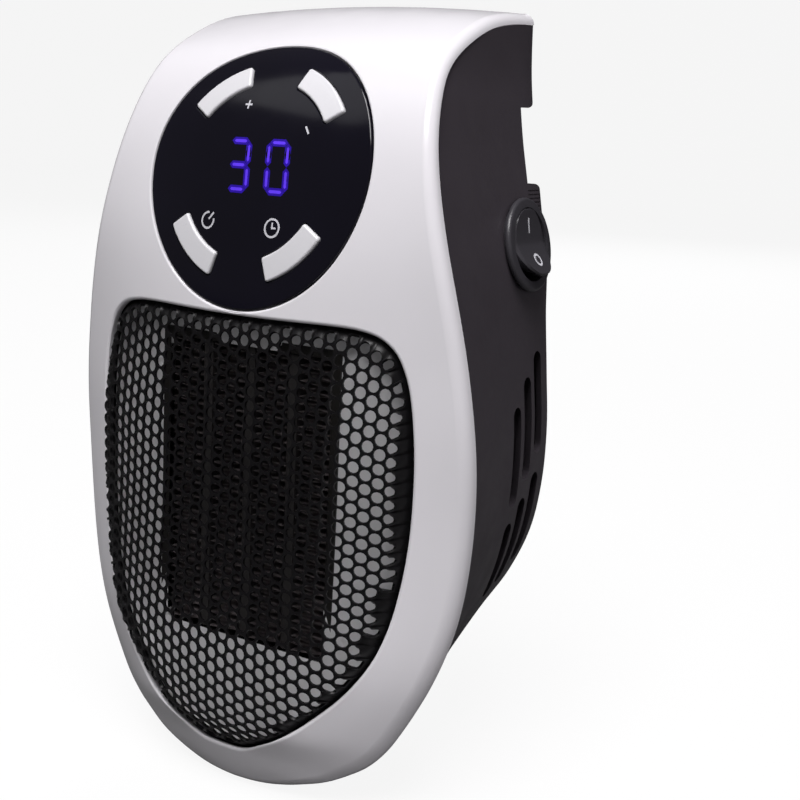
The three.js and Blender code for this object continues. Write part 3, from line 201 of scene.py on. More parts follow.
# The switch's place, as shares of depth and height
SWITCH_PLACE = (0.75, 0.704)
BEZEL_RADIUS, BEZEL_THICKNESS, BARREL_RADIUS = 10.3 * MM, 1.8 * MM, 9.2 * MM
ROCKER_RADIUS, ROCKER_GAP, ROCKER_TILT = 7.6 * MM, 0.5 * MM, -10.0
SHORT_SCREW, HEAD_RADIUS, HEAD_HEIGHT, SHANK_RADIUS = 4.0 * MM, 2.7 * MM, 2.0 * MM, 1.3 * MM
SCREW_LENGTH, THREAD_PITCH, THREAD_RADIUS = 10.0 * MM, 1.0 * MM, 0.16 * MM
# Each pair of housing screws: half its spacing, its height, and its posts' share of depth
HOUSING_SCREWS = ((28.0 * MM, 160.0 * MM, 0.5), (20.0 * MM, 12.5 * MM, 0.14))
# Where each key lies on the lens, in degrees from the right, counter-clockwise
KEY_ANGLES = {"up": 128, "down": 52, "power": 232, "timer": 308}
# The opening in the element's frame, and the bars between its strips of fins
WINDOW_HALF, WINDOW_HEIGHT, WINDOW_BOTTOM_SHARE = 22.0 * MM, 66.3 * MM, 0.19
WINDOW_FRONT, ELEMENT_SHARE = -1.1 * MM, 0.24
BAR_WIDTH, BARS = 2.4 * MM, 3
# The level of the grille's edge off the shell's face, and a reach past the whole heater
GRILLE_DROP = -0.5 * MM
FAR = 60.0 * MM
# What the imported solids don't have: a closer seam, a thinner rim at the top, and the funnel's lip
SEAM = 0.08 * MM
RIM_THINS_FROM, RIM_THINS_OVER = 0.6, 0.2
LIP = -2.3 * MM
FUNNEL_WALL, FUNNEL_GAP = 1.5 * MM, 1.3 * MM
# The way in for the keys, as their joints have it
PRESS_AXIS = next(tuple(joint["axis"]) for joint in frame["joints"] if joint["name"] == "press_up")
# The bars of each digit, from the top one clockwise, with g in the middle
SEGMENTS = {"3": "abcdg", "0": "abcdef"}


def sizes():
    """The size groups of the scene: body, front and grille."""
    scene = bpy.context.scene
    return scene.heater_body, scene.heater_front, scene.heater_grille


def to_frame(points):
    """Points of the build frame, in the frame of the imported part."""
    body = sizes()[0]
    return np.asarray(points, float) + np.array([0.0, -(body.depth + DISC_PROUD), -PLUG_HEIGHT])


# Curves and outlines

def hermite(table, places):
    """Values of a table at many places, on smooth curves through its rows."""
    x = np.array([row[0] for row in table], float)
    y = np.array([row[1] for row in table], float)
    low, high = np.maximum(np.arange(len(x)) - 1, 0), np.minimum(np.arange(len(x)) + 1, len(x) - 1)
    slope = (y[high] - y[low]) / (x[high] - x[low])
    places = np.clip(places, x[0], x[-1])
    i = np.clip(np.searchsorted(x, places, side="right") - 1, 0, len(x) - 2)
    span = x[i + 1] - x[i]
    t = (places - x[i]) / span
    return ((2 * t**3 - 3 * t**2 + 1) * y[i] + (t**3 - 2 * t**2 + t) * span * slope[i]
            + (3 * t**2 - 2 * t**3) * y[i + 1] + (t**3 - t**2) * span * slope[i + 1])


def catmull(points, steps, closed=False):
    """Dense points of a centripetal curve through the given ones."""
    p = np.asarray(points, float)
    if closed:
        p = np.vstack([p[-1], p, p[0], p[1]])
    else:
        p = np.vstack([2 * p[0] - p[1], p, 2 * p[-1] - p[-2]])
    t = np.linspace(0, 1, steps, endpoint=False)[:, None]
    rows = []
    for a, b, c, d in zip(p, p[1:], p[2:], p[3:]):
        d0, d1, d2 = (max(np.sqrt(np.linalg.norm(v)), 1e-9) for v in (b - a, c - b, d - c))
        m1 = ((b - a) / d0 - (c - a) / (d0 + d1) + (c - b) / d1) * d1
        m2 = ((c - b) / d1 - (d - b) / (d1 + d2) + (d - c) / d2) * d1
        rows.append(b + m1 * t + (-3 * b + 3 * c - 2 * m1 - m2) * t**2 + (2 * b - 2 * c + m1 + m2) * t**3)
    return np.vstack(rows if closed else [*rows, p[-2:-1]])


def resampled(points, step, closed=False):
    """The same line with points at even distances of about one step."""
    p = np.asarray(points, float)
    if closed:
        p = np.vstack([p, p[:1]])
    run = np.concatenate([[0], np.cumsum(np.linalg.norm(np.diff(p, axis=0), axis=1))])
    count = max(3, round(run[-1] / step))
    at = np.linspace(0, run[-1], count + 1)
    line = np.column_stack([np.interp(at, run, p[:, axis]) for axis in range(p.shape[1])])
    return line[:-1] if closed else line


def softened(values, spacing, reach):
    """Values smoothed along their line; the ends run straight on."""
    count = max(1, int(3 * reach / spacing))
    window = np.exp(-0.5 * (np.arange(-count, count + 1) * spacing / reach) ** 2)
    ahead = 2 * values[0] - values[count:0:-1]
    behind = 2 * values[-1] - values[-2:-count - 2:-1]
    return np.convolve(np.concatenate([ahead, values, behind]), window / window.sum(), "valid")


def inset(points, distance):
    """A closed outline, counter-clockwise, moved inwards."""
    p = np.asarray(points, float)
    along = np.roll(p, -1, axis=0) - np.roll(p, 1, axis=0)
    along /= np.linalg.norm(along, axis=1)[:, None]
    return p + distance * np.column_stack([-along[:, 1], along[:, 0]])


def mirrored(right):
    """The right half of an outline, from bottom to top, with its mirror image."""
    right = np.asarray(right, float)
    left = right[(right[:, 0] > 1e-9)][::-1] * [-1, 1]
    return np.vstack([right, left])


def circle(radius, centre, count):
    """Points of a circle, counter-clockwise."""
    turn = np.arange(count) / count * 2 * np.pi
    return np.column_stack([centre[0] + radius * np.cos(turn), centre[1] + radius * np.sin(turn)])


def rounded_box(half_width, half_height, radius, step, corner=6):
    """Outline of a rectangle with round corners, counter-clockwise from its lower right."""
    points = []
    for index, (sx, sy) in enumerate(((1, -1), (1, 1), (-1, 1), (-1, -1))):
        for k in range(corner + 1):
            turn = (index - 1 + k / corner) * math.pi / 2
            points.append((sx * (half_width - radius) + radius * math.cos(turn),
                           sy * (half_height - radius) + radius * math.sin(turn)))
    dense = []
    for here, there in zip(points, points[1:] + points[:1]):
        count = max(1, round(math.dist(here, there) / step))
        dense += [np.add(here, np.subtract(there, here) * k / count) for k in range(count)]
    return np.array(dense)


def arc_steps(radius, steps, towards=1.0):
    """Rounded edge from the face over to its side, as pairs of inset and level."""
    turns = [(k / steps) ** 1.5 * math.pi / 2 for k in range(steps + 1)]
    return [(towards * radius * (1 - math.sin(t)), radius * (math.cos(t) - 1)) for t in turns]


def is_inside(places, outline):
    """Which places lie inside a closed outline."""
    p, q = np.asarray(outline), np.roll(outline, 1, axis=0)
    y = places[:, 1][:, None]
    rise = np.where(q[:, 1] == p[:, 1], 1e-12, q[:, 1] - p[:, 1])
    edge = (q[:, 0] - p[:, 0]) * (y - p[:, 1]) / rise + p[:, 0]
    crosses = (p[:, 1] > y) != (q[:, 1] > y)
    return (crosses & (places[:, 0][:, None] < edge)).sum(1) % 2 == 1


def nearest_on(places, outline):
    """The nearest point of an outline to each place."""
    a, b = np.asarray(outline), np.roll(outline, -1, axis=0)
    found = []
    for start in range(0, len(places), 4000):
        p = places[start:start + 4000][:, None, :]
        share = np.clip(((p - a) * (b - a)).sum(2) / ((b - a) ** 2).sum(1), 0, 1)
        near = a + share[..., None] * (b - a)
        best = np.linalg.norm(p - near, axis=2).argmin(1)
        found.append(near[np.arange(len(best)), best])
    return np.vstack(found)


def distance_to(places, outline):
    """Distance from each place to the nearest edge of an outline."""
    return np.linalg.norm(places - nearest_on(places, outline), axis=1)


def eased(value, reach):
    """A share that grows smoothly from 0 to 1 over a reach."""
    share = np.clip(value / reach, 0, 1)
    return share * share * (3 - 2 * share)


class Front:
    """The front as a flat pattern: x across, along up its side profile, out off its surface."""

    def __init__(self):
        body = sizes()[0]
        self.body = body
        curve = catmull([(d * body.depth, h * body.height) for d, h in PROFILE], 40)
        run = np.concatenate([[0], np.cumsum(np.linalg.norm(np.diff(curve, axis=0), axis=1))])
        self.length = run[-1]
        self.run = np.linspace(0, self.length, 1001)
        spacing = self.run[1]
        share = self.run / self.length
        self.y, self.z = (softened(np.interp(self.run, run, curve[:, k]), spacing, 3 * MM) for k in (0, 1))
        ease = np.clip((self.run - 10 * MM) / (25 * MM), 0, 1)
        width = hermite(OUTLINE, share) * body.half_width
        self.width = width + ease * (softened(width, spacing, 4 * MM) - width)
        bulge = hermite(BULGE, share) * GREATEST_BULGE
        self.bulge = bulge + ease * (softened(bulge, spacing, 5 * MM) - bulge)
        rise, climb = np.gradient(self.y, spacing), np.gradient(self.z, spacing)
        size = np.hypot(rise, climb)
        self.up_y, self.up_z = rise / size, climb / size
        self.lens = LENS_CENTRE_SHARE * self.length

    def half_width(self, along):
        """Half-width of the front at a place along its profile."""
        return np.interp(along, self.run, self.width)

    def place(self, flat, out):
        """Points of the build frame for flat places and levels off the surface."""
        x, along = np.asarray(flat, float).T
        at = np.clip(along, 0, self.length)
        up_y, up_z = (np.interp(at, self.run, v) for v in (self.up_y, self.up_z))
        width = np.maximum(self.half_width(at), self.body.wall)
        level = out + np.interp(at, self.run, self.bulge) * (1 - np.minimum((x / width) ** 2, 1))
        y = np.interp(at, self.run, self.y) + up_y * (along - at) - up_z * level
        z = np.interp(at, self.run, self.z) + up_z * (along - at) + up_y * level
        return np.column_stack([x, y, z])

    def rim_place(self, flat, out, keep):
        """As place, but what lies deeper than the kept level is thinner towards the top."""
        thinner = eased(np.asarray(flat)[:, 1] / self.length - RIM_THINS_FROM, RIM_THINS_OVER)
        return self.place(flat, out - np.minimum(out + keep, 0) * thinner)

    def rim(self, step):
        """Outline of the whole front."""
        share = np.linspace(0, 1, 3000) ** 1.6
        along = share * self.length
        side = resampled(np.column_stack([self.half_width(along), along]), step)
        side[0] = (0, 0)
        top = resampled([side[-1], (0, self.length)], step)
        return mirrored(np.vstack([side, top[1:-1], [(0, self.length)]]))

    def outlet(self, step):
        """Outline of the outlet opening."""
        tall = OUTLET_TOP - OUTLET_BOTTOM
        right = [(w * OUTLET_HALF_WIDTH, OUTLET_BOTTOM + h * tall) for w, h in OUTLET]
        loop = mirrored(np.vstack([right, [(0, OUTLET_TOP)]]))
        return resampled(catmull(loop, 12, closed=True), step, closed=True)


# Meshes

class Skin:
    """Points and faces, gathered part by part."""

    def __init__(self):
        self.points, self.faces = np.empty((0, 3)), []

    def add(self, points, faces):
        base = len(self.points)
        self.faces += [tuple(base + int(i) for i in face) for face in faces]
        self.points = np.vstack([self.points, points])

    def piece(self, name, smooth=35.0, seams=False):
        return piece(name, self.points, self.faces, smooth, seams)


def piece(name, points, faces, smooth=35.0, seams=False):
    """A new mesh object in the part's frame, with its faces turned outwards."""
    mesh = bpy.data.meshes.new(name)
    faces = [tuple(int(i) for i in face) for face in faces]
    mesh.from_pydata([tuple(p) for p in to_frame(points)], [], faces)
    return finished_mesh(name, mesh, smooth, seams=seams)


def finished_mesh(name, mesh, smooth=35.0, turn=True, seams=False):
    """The mesh as an object, smooth but for its sharp edges.

    With seams, the edges between a face's triangles and its rounding are sharp too, so that
    the face's own shading stays even.
    """
    work = bmesh.new()
    work.from_mesh(mesh)
    bmesh.ops.remove_doubles(work, verts=work.verts, dist=1e-6)
    if turn:
        bmesh.ops.recalc_face_normals(work, faces=work.faces)
    work.to_mesh(mesh)
    work.free()
    mesh.shade_smooth()
    mesh.set_sharp_from_angle(angle=math.radians(smooth))
    if seams:
        work = bmesh.new()
        work.from_mesh(mesh)
        for edge in work.edges:
            if len({len(face.verts) for face in edge.link_faces}) > 1:
                edge.smooth = False
        work.to_mesh(mesh)
        work.free()
    obj = bpy.data.objects.new(name, mesh)
    bpy.context.scene.collection.objects.link(obj)
    return obj


def evaluated(obj):
    """The object's mesh with its modifiers applied."""
    bpy.context.view_layer.update()
    return bpy.data.meshes.new_from_object(obj.evaluated_get(bpy.context.evaluated_depsgraph_get()))


def baked(obj, smooth, turn=False):
    """The object with its modifiers applied, as a plain mesh object in its place."""
    mesh, name = evaluated(obj), obj.name
    bpy.data.objects.remove(obj)
    mesh.name = name
    return finished_mesh(name, mesh, smooth, turn)


def thickened(obj, thickness, offset, smooth):
    """A surface as a sheet; the offset is -1 where all of it lies behind the surface."""
    step = obj.modifiers.new("thickness", "SOLIDIFY")
    step.thickness, step.offset = thickness, offset
    return baked(obj, smooth)


def combined(base, tools, operation, smooth=35.0):
    """The base with each tool joined to it, cut from it or kept in common."""
    name = base.name
    for tool in tools:
        step = base.modifiers.new("step", "BOOLEAN")
        step.operation, step.solver, step.object = operation, "MANIFOLD", tool
        mesh = evaluated(base)
        base.modifiers.clear()
        if not mesh.polygons:
            raise RuntimeError(f"{name}: nothing is left after {operation} with {tool.name}")
        base.data = mesh
        bpy.data.objects.remove(tool)
    base.data.name = name
    base.data.shade_smooth()
    base.data.set_sharp_from_angle(angle=math.radians(smooth))
    return base


def joined(name, parts):
    """Several mesh objects as one."""
    work = bmesh.new()
    for part in parts:
        work.from_mesh(part.data)
        bpy.data.objects.remove(part)
    mesh = bpy.data.meshes.new(name)
    work.to_mesh(mesh)
    work.free()
    return finished_mesh(name, mesh, turn=False, seams=True)


def between(loops, closed=False, capped=True):
    """Points and faces of a skin over loops of equal count."""
    count, levels = len(loops[0]), len(loops)
    faces = []
    for level in range(levels if closed else levels - 1):
        low, high = level * count, (level + 1) % levels * count
        for i in range(count):
            after = (i + 1) % count
            faces.append((low + i, low + after, high + after, high + i))
    if not closed and capped:
        faces += [tuple(range(count)), tuple(range((levels - 1) * count, levels * count))]
    return np.vstack(loops), faces


def flat_region(rings, step):
    """Triangles over a flat region; the first ring is its edge, the rest are openings."""
    def within(places):
        keep = is_inside(places, rings[0])
        for ring in rings[1:]:
            keep &= ~is_inside(places, ring)
        return keep

    start = [0, *np.cumsum([len(ring) for ring in rings])]
    edges = [(a + i, a + (i + 1) % len(ring)) for a, ring in zip(start, rings) for i in range(len(ring))]
    low, high = rings[0].min(0), rings[0].max(0)
    lattice = []
    for row, y in enumerate(np.arange(low[1], high[1], step * math.sqrt(3) / 2)):
        lattice += [(x, y) for x in np.arange(low[0] + (row % 2) * step / 2, high[0], step)]
    lattice = np.array(lattice)
    lattice = lattice[within(lattice)]
    for ring in rings:
        lattice = lattice[distance_to(lattice, ring) > 0.45 * step]
    scale = 1 / step
    points = np.vstack([*rings, lattice])
    found = delaunay_2d_cdt([Vector(p * scale) for p in points], edges, [], 0, 1e-6, True)
    flat = np.array([v[:] for v in found[0]]) / scale
    triangles = np.array(found[2])
    return flat, triangles[within(flat[triangles].mean(1))]


def formed(name, place, rings, step, top=0.0):
    """A moulded sheet.

    Each ring is an outline with its edge's steps of inset and level, from the face round to the
    underside; the first ring is the piece's rim, the rest are its openings.
    """
    skin = Skin()
    for end in (0, -1):
        flat, triangles = flat_region([inset(outline, steps[end][0]) for outline, steps in rings], step)
        skin.add(place(flat, top + rings[0][1][end][1]), triangles)
    for outline, steps in rings:
        loops = [place(inset(outline, by), top + level) for by, level in steps]
        skin.add(*between(loops, capped=False))
    return skin.piece(name, seams=True)


def slab(place, front, low, high):
    """Everything between two levels over the whole front, as a cutting tool."""
    side, past, step = FAR + 5 * MM, 12 * MM, 2.5 * MM
    x = np.linspace(-side, side, 57)
    along = np.linspace(-past, front.length + past, round((front.length + 2 * past) / step))
    grid = np.array([(a, b) for b in along for a in x])
    columns, rows, count = len(x), len(along), len(grid)
    faces = []
    for r in range(rows - 1):
        for c in range(columns - 1):
            a = r * columns + c
            faces.append((a, a + 1, a + columns + 1, a + columns))
            faces.append(tuple(i + count for i in (a, a + columns, a + columns + 1, a + 1)))
    last = (rows - 1) * columns
    rim = [*range(columns), *range(2 * columns - 1, last + columns, columns),
           *range(last + columns - 2, last - 1, -1), *range(last - columns, 0, -columns)]
    for here, there in zip(rim, rim[1:] + rim[:1]):
        faces.append((here, there, there + count, here + count))
    return piece("slab", np.vstack([place(grid, low), place(grid, high)]), faces)


def at_depth(outline, depth):
    """An outline as seen from the front, as points at one depth."""
    return np.column_stack([outline[:, 0], np.full(len(outline), depth), outline[:, 1]])


def rod(name, radius, x, z, start, end, sides, bevel=0.0, matrix=None):
    """A rod along Y, or along a frame's first axis where a matrix is given."""
    turns = [k / 4 * math.pi / 2 for k in range(5)] if bevel else [math.pi / 2]
    half = [(radius - bevel * (1 - math.sin(t)), bevel * (1 - math.cos(t))) for t in turns]
    rows = [(r, start + d) for r, d in half] + [(r, end - d) for r, d in reversed(half)]
    loops = []
    for r, depth in rows:
        ring = circle(r, (x, z), sides)
        if matrix is None:
            loops.append(at_depth(ring, depth))
        else:
            loops.append(np.array([matrix @ Vector((depth, a, b)) for a, b in ring]))
    return piece(name, *between(loops))


def box(name, low, high):
    """A block between two corners."""
    xs, ys, zs = zip(low, high)
    corners = [Vector((x, y, z)) for z in zs for y in ys for x in xs]
    faces = [(0, 1, 3, 2), (4, 6, 7, 5), (0, 4, 5, 1), (2, 3, 7, 6), (0, 2, 6, 4), (1, 5, 7, 3)]
    return piece(name, corners, faces)


# Nodes and finishes

def fill(tree, node, **values):
    """Sets or links a node's inputs by name, or as i0, i1 and i2 by place."""
    for key, value in values.items():
        socket = node.inputs[int(key[1:]) if key in ("i0", "i1", "i2") else key.replace("_", " ")]
        if isinstance(value, bpy.types.NodeSocket):
            tree.links.new(value, socket)
        else:
            socket.default_value = value
    return node


def new_node(tree, kind, settings=None, **values):
    """A new node of a tree, with its settings and inputs."""
    node = tree.nodes.new(kind)
    for key, value in (settings or {}).items():
        setattr(node, key, value)
    return fill(tree, node, **values)


# Each finish: a colour, or the panel's name for it, its roughness and what else it has
RECIPES = {
    "shell_gloss": ("shell", 0.24, dict(coat=0.2, grain=0.002, grain_size=2.0, tint=0.012, wear=0.05)),
    "lens_gloss": ("lens", 0.12, dict(grain=0.0006, grain_size=3.0, tint=0.15, wear=0.04, ior=1.42)),
    "key_satin": ("keys", 0.30, dict(coat=0.2, grain=0.006, grain_size=0.35, tint=0.02)),
    "housing_satin": ("housing", 0.44, dict(grain=0.014, grain_size=0.5, tint=0.07, wear=0.1)),
    "switch_satin": ("switch", 0.34, dict(grain=0.006, grain_size=0.3, tint=0.08)),
    "grille_paint": ("grille", 0.38, dict(grain=0.008, grain_size=0.25, tint=0.1, wear=0.12, ior=1.35)),
    "funnel_sheet": ("funnel", 0.34, dict(grain=0.006, grain_size=0.6, tint=0.05, streak=(1, 1, 0.12))),
    "mica_sheet": ((0.012, 0.0105, 0.009), 0.6, dict(grain=0.02, grain_size=0.8, tint=0.25, wear=0.2)),
    "fin_sheet": ((0.20, 0.175, 0.18), 0.42,
                  dict(metallic=0.4, grain=0.008, grain_size=0.3, tint=0.25, streak=(1, 0.1, 1))),
    "ceramic_fired": ((0.035, 0.032, 0.032), 0.6, dict(grain=0.02, grain_size=0.35, tint=0.2)),
    "steel_bright": ((0.50, 0.50, 0.52), 0.28,
                     dict(metallic=1.0, grain=0.004, grain_size=0.2, tint=0.05, streak=(1, 0.15, 1))),
    "brass_plated": ((0.62, 0.47, 0.20), 0.26,
                     dict(metallic=1.0, grain=0.003, grain_size=0.25, tint=0.08, streak=(1, 0.1, 1))),
    "copper_spring": ((0.60, 0.27, 0.13), 0.3, dict(metallic=1.0, grain=0.003, grain_size=0.25, tint=0.1)),
    "board_mask": ((0.012, 0.10, 0.035), 0.3,
                   dict(coat=0.3, grain=0.03, grain_size=1.2, tint=0.3, streak=(1, 1, 0.1))),
    "component_black": ((0.014, 0.014, 0.015), 0.42, dict(grain=0.012, grain_size=0.4, tint=0.12)),
    "relay_blue": ((0.02, 0.075, 0.28), 0.35, dict(grain=0.006, grain_size=0.5, tint=0.08)),
    "capacitor_yellow": ((0.58, 0.36, 0.02), 0.35, dict(grain=0.008, grain_size=0.6, tint=0.1)),
    "fan_plastic": ((0.16, 0.165, 0.175), 0.45, dict(grain=0.01, grain_size=0.5, tint=0.05)),
    "carrier_pale": ((0.58, 0.58, 0.60), 0.45, dict(grain=0.008, grain_size=0.5, tint=0.04)),
    "mark_print": ((0.62, 0.62, 0.66), 0.45, dict(grain=0.003, grain_size=0.2, tint=0.1)),
    "digit_light": ("digits", 0.3, dict(tint=0.1, glow=1.0)),
    "digit_glow": ((0.012, 0.0012, 0.19), 0.3, dict(tint=0.1, glow=0.8)),
}
FINISHES = {}


def finish(name, base, roughness, metallic=0.0, coat=0.0, grain=0.0, grain_size=0.4, tint=0.06,
           wear=0.08, streak=(1.0, 1.0, 1.0), ior=1.5, glow=0.0):
    """A finish: colour with slow and fine variation, uneven gloss, and grain in relief.

    The grain's height and size are in millimetres, a streak stretches it along one axis, and a
    glow lights the piece a little unevenly.
    """
    made = bpy.data.materials.new(name)
    made.use_nodes = True
    tree = made.node_tree

    def noise(scale, detail, source):
        return new_node(tree, "ShaderNodeTexNoise", Scale=scale, Detail=detail, Vector=source).outputs["Fac"]

    def ramp(source, low, high, first, last):
        return new_node(tree, "ShaderNodeMapRange", Value=source, From_Min=low, From_Max=high,
                        To_Min=first, To_Max=last).outputs["Result"]

    where = new_node(tree, "ShaderNodeTexCoord").outputs["Object"]
    turned = new_node(tree, "ShaderNodeMapping", Vector=where, Scale=streak).outputs["Vector"]
    shade = new_node(tree, "ShaderNodeMix", {"data_type": "RGBA"},
                     Factor=ramp(noise(28.0, 3.0, where), 0.35, 0.65, 0.0, 1.0),
                     A=(*[c * (1 - tint) for c in base], 1.0),
                     B=(*[min(1.0, c * (1 + tint)) for c in base], 1.0))
    uneven = ramp(noise(170.0, 4.0, turned), 0.3, 0.7, max(0.02, roughness - wear / 2), roughness + wear / 2)
    shader = fill(tree, tree.nodes["Principled BSDF"], Base_Color=shade.outputs["Result"], Roughness=uneven,
                  Metallic=metallic, Coat_Weight=coat, Coat_Roughness=0.04, IOR=ior)
    if grain:
        relief = noise(1 / (grain_size * MM), 2.0, turned)
        bump = new_node(tree, "ShaderNodeBump", Height=relief, Distance=grain * MM, Strength=1.0)
        fill(tree, shader, Normal=bump.outputs["Normal"])
    if glow:
        light = ramp(noise(420.0, 2.0, where), 0.0, 1.0, 0.55 * glow, 1.45 * glow)
        fill(tree, shader, Emission_Strength=light, Emission_Color=(*base, 1.0))
    return made


def finish_of(name):
    """Each finish is made once, with its colour from the panel where it has a name there."""
    if name not in FINISHES:
        base, roughness, more = RECIPES[name]
        if isinstance(base, str):
            base = getattr(bpy.context.scene.heater_colours, base)
        FINISHES[name] = finish(name, base, roughness, **more)
    return FINISHES[name]


def coat(mesh, finish_name):
    """Gives a mesh one finish."""
    mesh.materials.clear()
    mesh.materials.append(finish_of(finish_name))


def dress(obj, finish_name, body="body", replaces=()):
    """Gives a piece its finish, its moving body and the solids that it stands for."""
    coat(obj.data, finish_name)
    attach(obj, body)
    if replaces:
        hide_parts(*replaces)


# Geometry Nodes

class Tree:
    """A small help for building a node tree with named inputs."""

    def __init__(self, name, inputs):
        self.group = bpy.data.node_groups.new(name, "GeometryNodeTree")
        face = self.group.interface
        face.new_socket("Geometry", in_out="INPUT", socket_type="NodeSocketGeometry")
        self.sockets = {}
        for label, kind, value in inputs:
            made = face.new_socket(label, in_out="INPUT", socket_type=kind)
            self.sockets[label] = (made.identifier, value)
            if kind != "NodeSocketMaterial":
                made.default_value = value
        face.new_socket("Geometry", in_out="OUTPUT", socket_type="NodeSocketGeometry")
        self.inputs = self.add("NodeGroupInput")
        self.outputs = self.add("NodeGroupOutput")

    def add(self, kind, settings=None, **values):
        return new_node(self.group, kind, settings, **values)

    def given(self, label):
        """The tree's own input of that name."""
        return self.inputs.outputs[label]

    def maths(self, operation, first, second):
        return self.add("ShaderNodeMath", {"operation": operation}, i0=first, i1=second).outputs[0]

    def times(self, first, second):
        return self.maths("MULTIPLY", first, second)

    def vector(self, **parts):
        return self.add("ShaderNodeCombineXYZ", **parts).outputs[0]

    def scaled(self, vector, share):
        return self.add("ShaderNodeVectorMath", {"operation": "SCALE"}, i0=vector, Scale=share).outputs[0]

    def merged(self, *parts):
        """Several geometries as one."""
        whole = self.add("GeometryNodeJoinGeometry")
        for part in parts:
            self.group.links.new(part, whole.inputs[0])
        return whole.outputs[0]

    def spread(self, instance, **more):
        """One copy at every point of the mesh that the tree is given."""
        return self.add("GeometryNodeInstanceOnPoints", Points=self.given("Geometry"), Instance=instance,
                        **more).outputs[0]

    def end(self, geometry):
        """Realized, with its material, into the output."""
        real = self.add("GeometryNodeRealizeInstances", Geometry=geometry)
        paint = self.add("GeometryNodeSetMaterial", Geometry=real.outputs[0], Material=self.given("Material"))
        self.group.links.new(paint.outputs[0], self.outputs.inputs["Geometry"])

    def run(self, name, points, smooth=35.0, turn=True):
        """The tree's result on a mesh of points, as a plain mesh object."""
        mesh = bpy.data.meshes.new(name)
        mesh.from_pydata([tuple(p) for p in points], [], [])
        obj = bpy.data.objects.new(name, mesh)
        bpy.context.scene.collection.objects.link(obj)
        step = obj.modifiers.new("build", "NODES")
        step.node_group = self.group
        for identifier, value in self.sockets.values():
            step[identifier] = value
        return baked(obj, smooth, turn)


def perforation_tree(pitch, hole, material):
    """One six-sided cell with a round hole at every point, welded into a sheet."""
    tree = Tree("Perforation", [
        ("Pitch", "NodeSocketFloat", pitch), ("Hole radius", "NodeSocketFloat", hole),
        ("Weld", "NodeSocketFloat", 0.02 * MM), ("Material", "NodeSocketMaterial", material)])
    # Twelve points, of which every other one is drawn in to the middle of a six-sided cell's edge
    corner = tree.maths("DIVIDE", tree.given("Pitch"), math.sqrt(3))
    ring = tree.add("GeometryNodeMeshCircle", {"fill_type": "NGON"}, Vertices=12, Radius=corner)
    odd = tree.maths("MODULO", tree.add("GeometryNodeInputIndex").outputs[0], 2.0)
    share = tree.maths("SUBTRACT", 1.0, tree.times(odd, 1 - math.cos(math.pi / 6)))
    place = tree.add("GeometryNodeInputPosition").outputs[0]
    cell = tree.add("GeometryNodeSetPosition", Geometry=ring.outputs[0], Position=tree.scaled(place, share))
    inner = tree.add("GeometryNodeExtrudeMesh", {"mode": "FACES"}, Mesh=cell.outputs[0],
                     Offset_Scale=0.0, Individual=False)
    way = tree.add("ShaderNodeVectorMath", {"operation": "NORMALIZE"}, i0=place).outputs[0]
    round_hole = tree.add("GeometryNodeSetPosition", Geometry=inner.outputs["Mesh"],
                          Selection=inner.outputs["Top"],
                          Position=tree.scaled(way, tree.given("Hole radius")))
    opened = tree.add("GeometryNodeDeleteGeometry", {"domain": "FACE"}, Geometry=round_hole.outputs[0],
                      Selection=inner.outputs["Top"])
    real = tree.add("GeometryNodeRealizeInstances", Geometry=tree.spread(opened.outputs[0]))
    weld = tree.add("GeometryNodeMergeByDistance", Geometry=real.outputs[0], Distance=tree.given("Weld"))
    tree.end(weld.outputs[0])
    return tree


def fin_tree(folds, width, height, depth, material):
    """A zigzag line up the strip, drawn out to the strip's depth."""
    tree = Tree("FoldedFins", [
        ("Folds", "NodeSocketInt", folds), ("Width", "NodeSocketFloat", width),
        ("Height", "NodeSocketFloat", height), ("Depth", "NodeSocketFloat", depth),
        ("Material", "NodeSocketMaterial", material)])
    count = tree.maths("ADD", tree.given("Folds"), 1.0)
    rise = tree.maths("DIVIDE", tree.given("Height"), tree.given("Folds"))
    line = tree.add("GeometryNodeMeshLine", Count=count, Offset=tree.vector(Z=rise))
    odd = tree.maths("MODULO", tree.add("GeometryNodeInputIndex").outputs[0], 2.0)
    fold = tree.add("GeometryNodeSetPosition", Geometry=line.outputs[0],
                    Offset=tree.vector(X=tree.times(odd, tree.given("Width"))))
    drawn = tree.add("GeometryNodeExtrudeMesh", {"mode": "EDGES"}, Mesh=fold.outputs[0],
                     Offset=tree.vector(Y=tree.given("Depth")))
    tree.end(tree.spread(drawn.outputs["Mesh"]))
    return tree


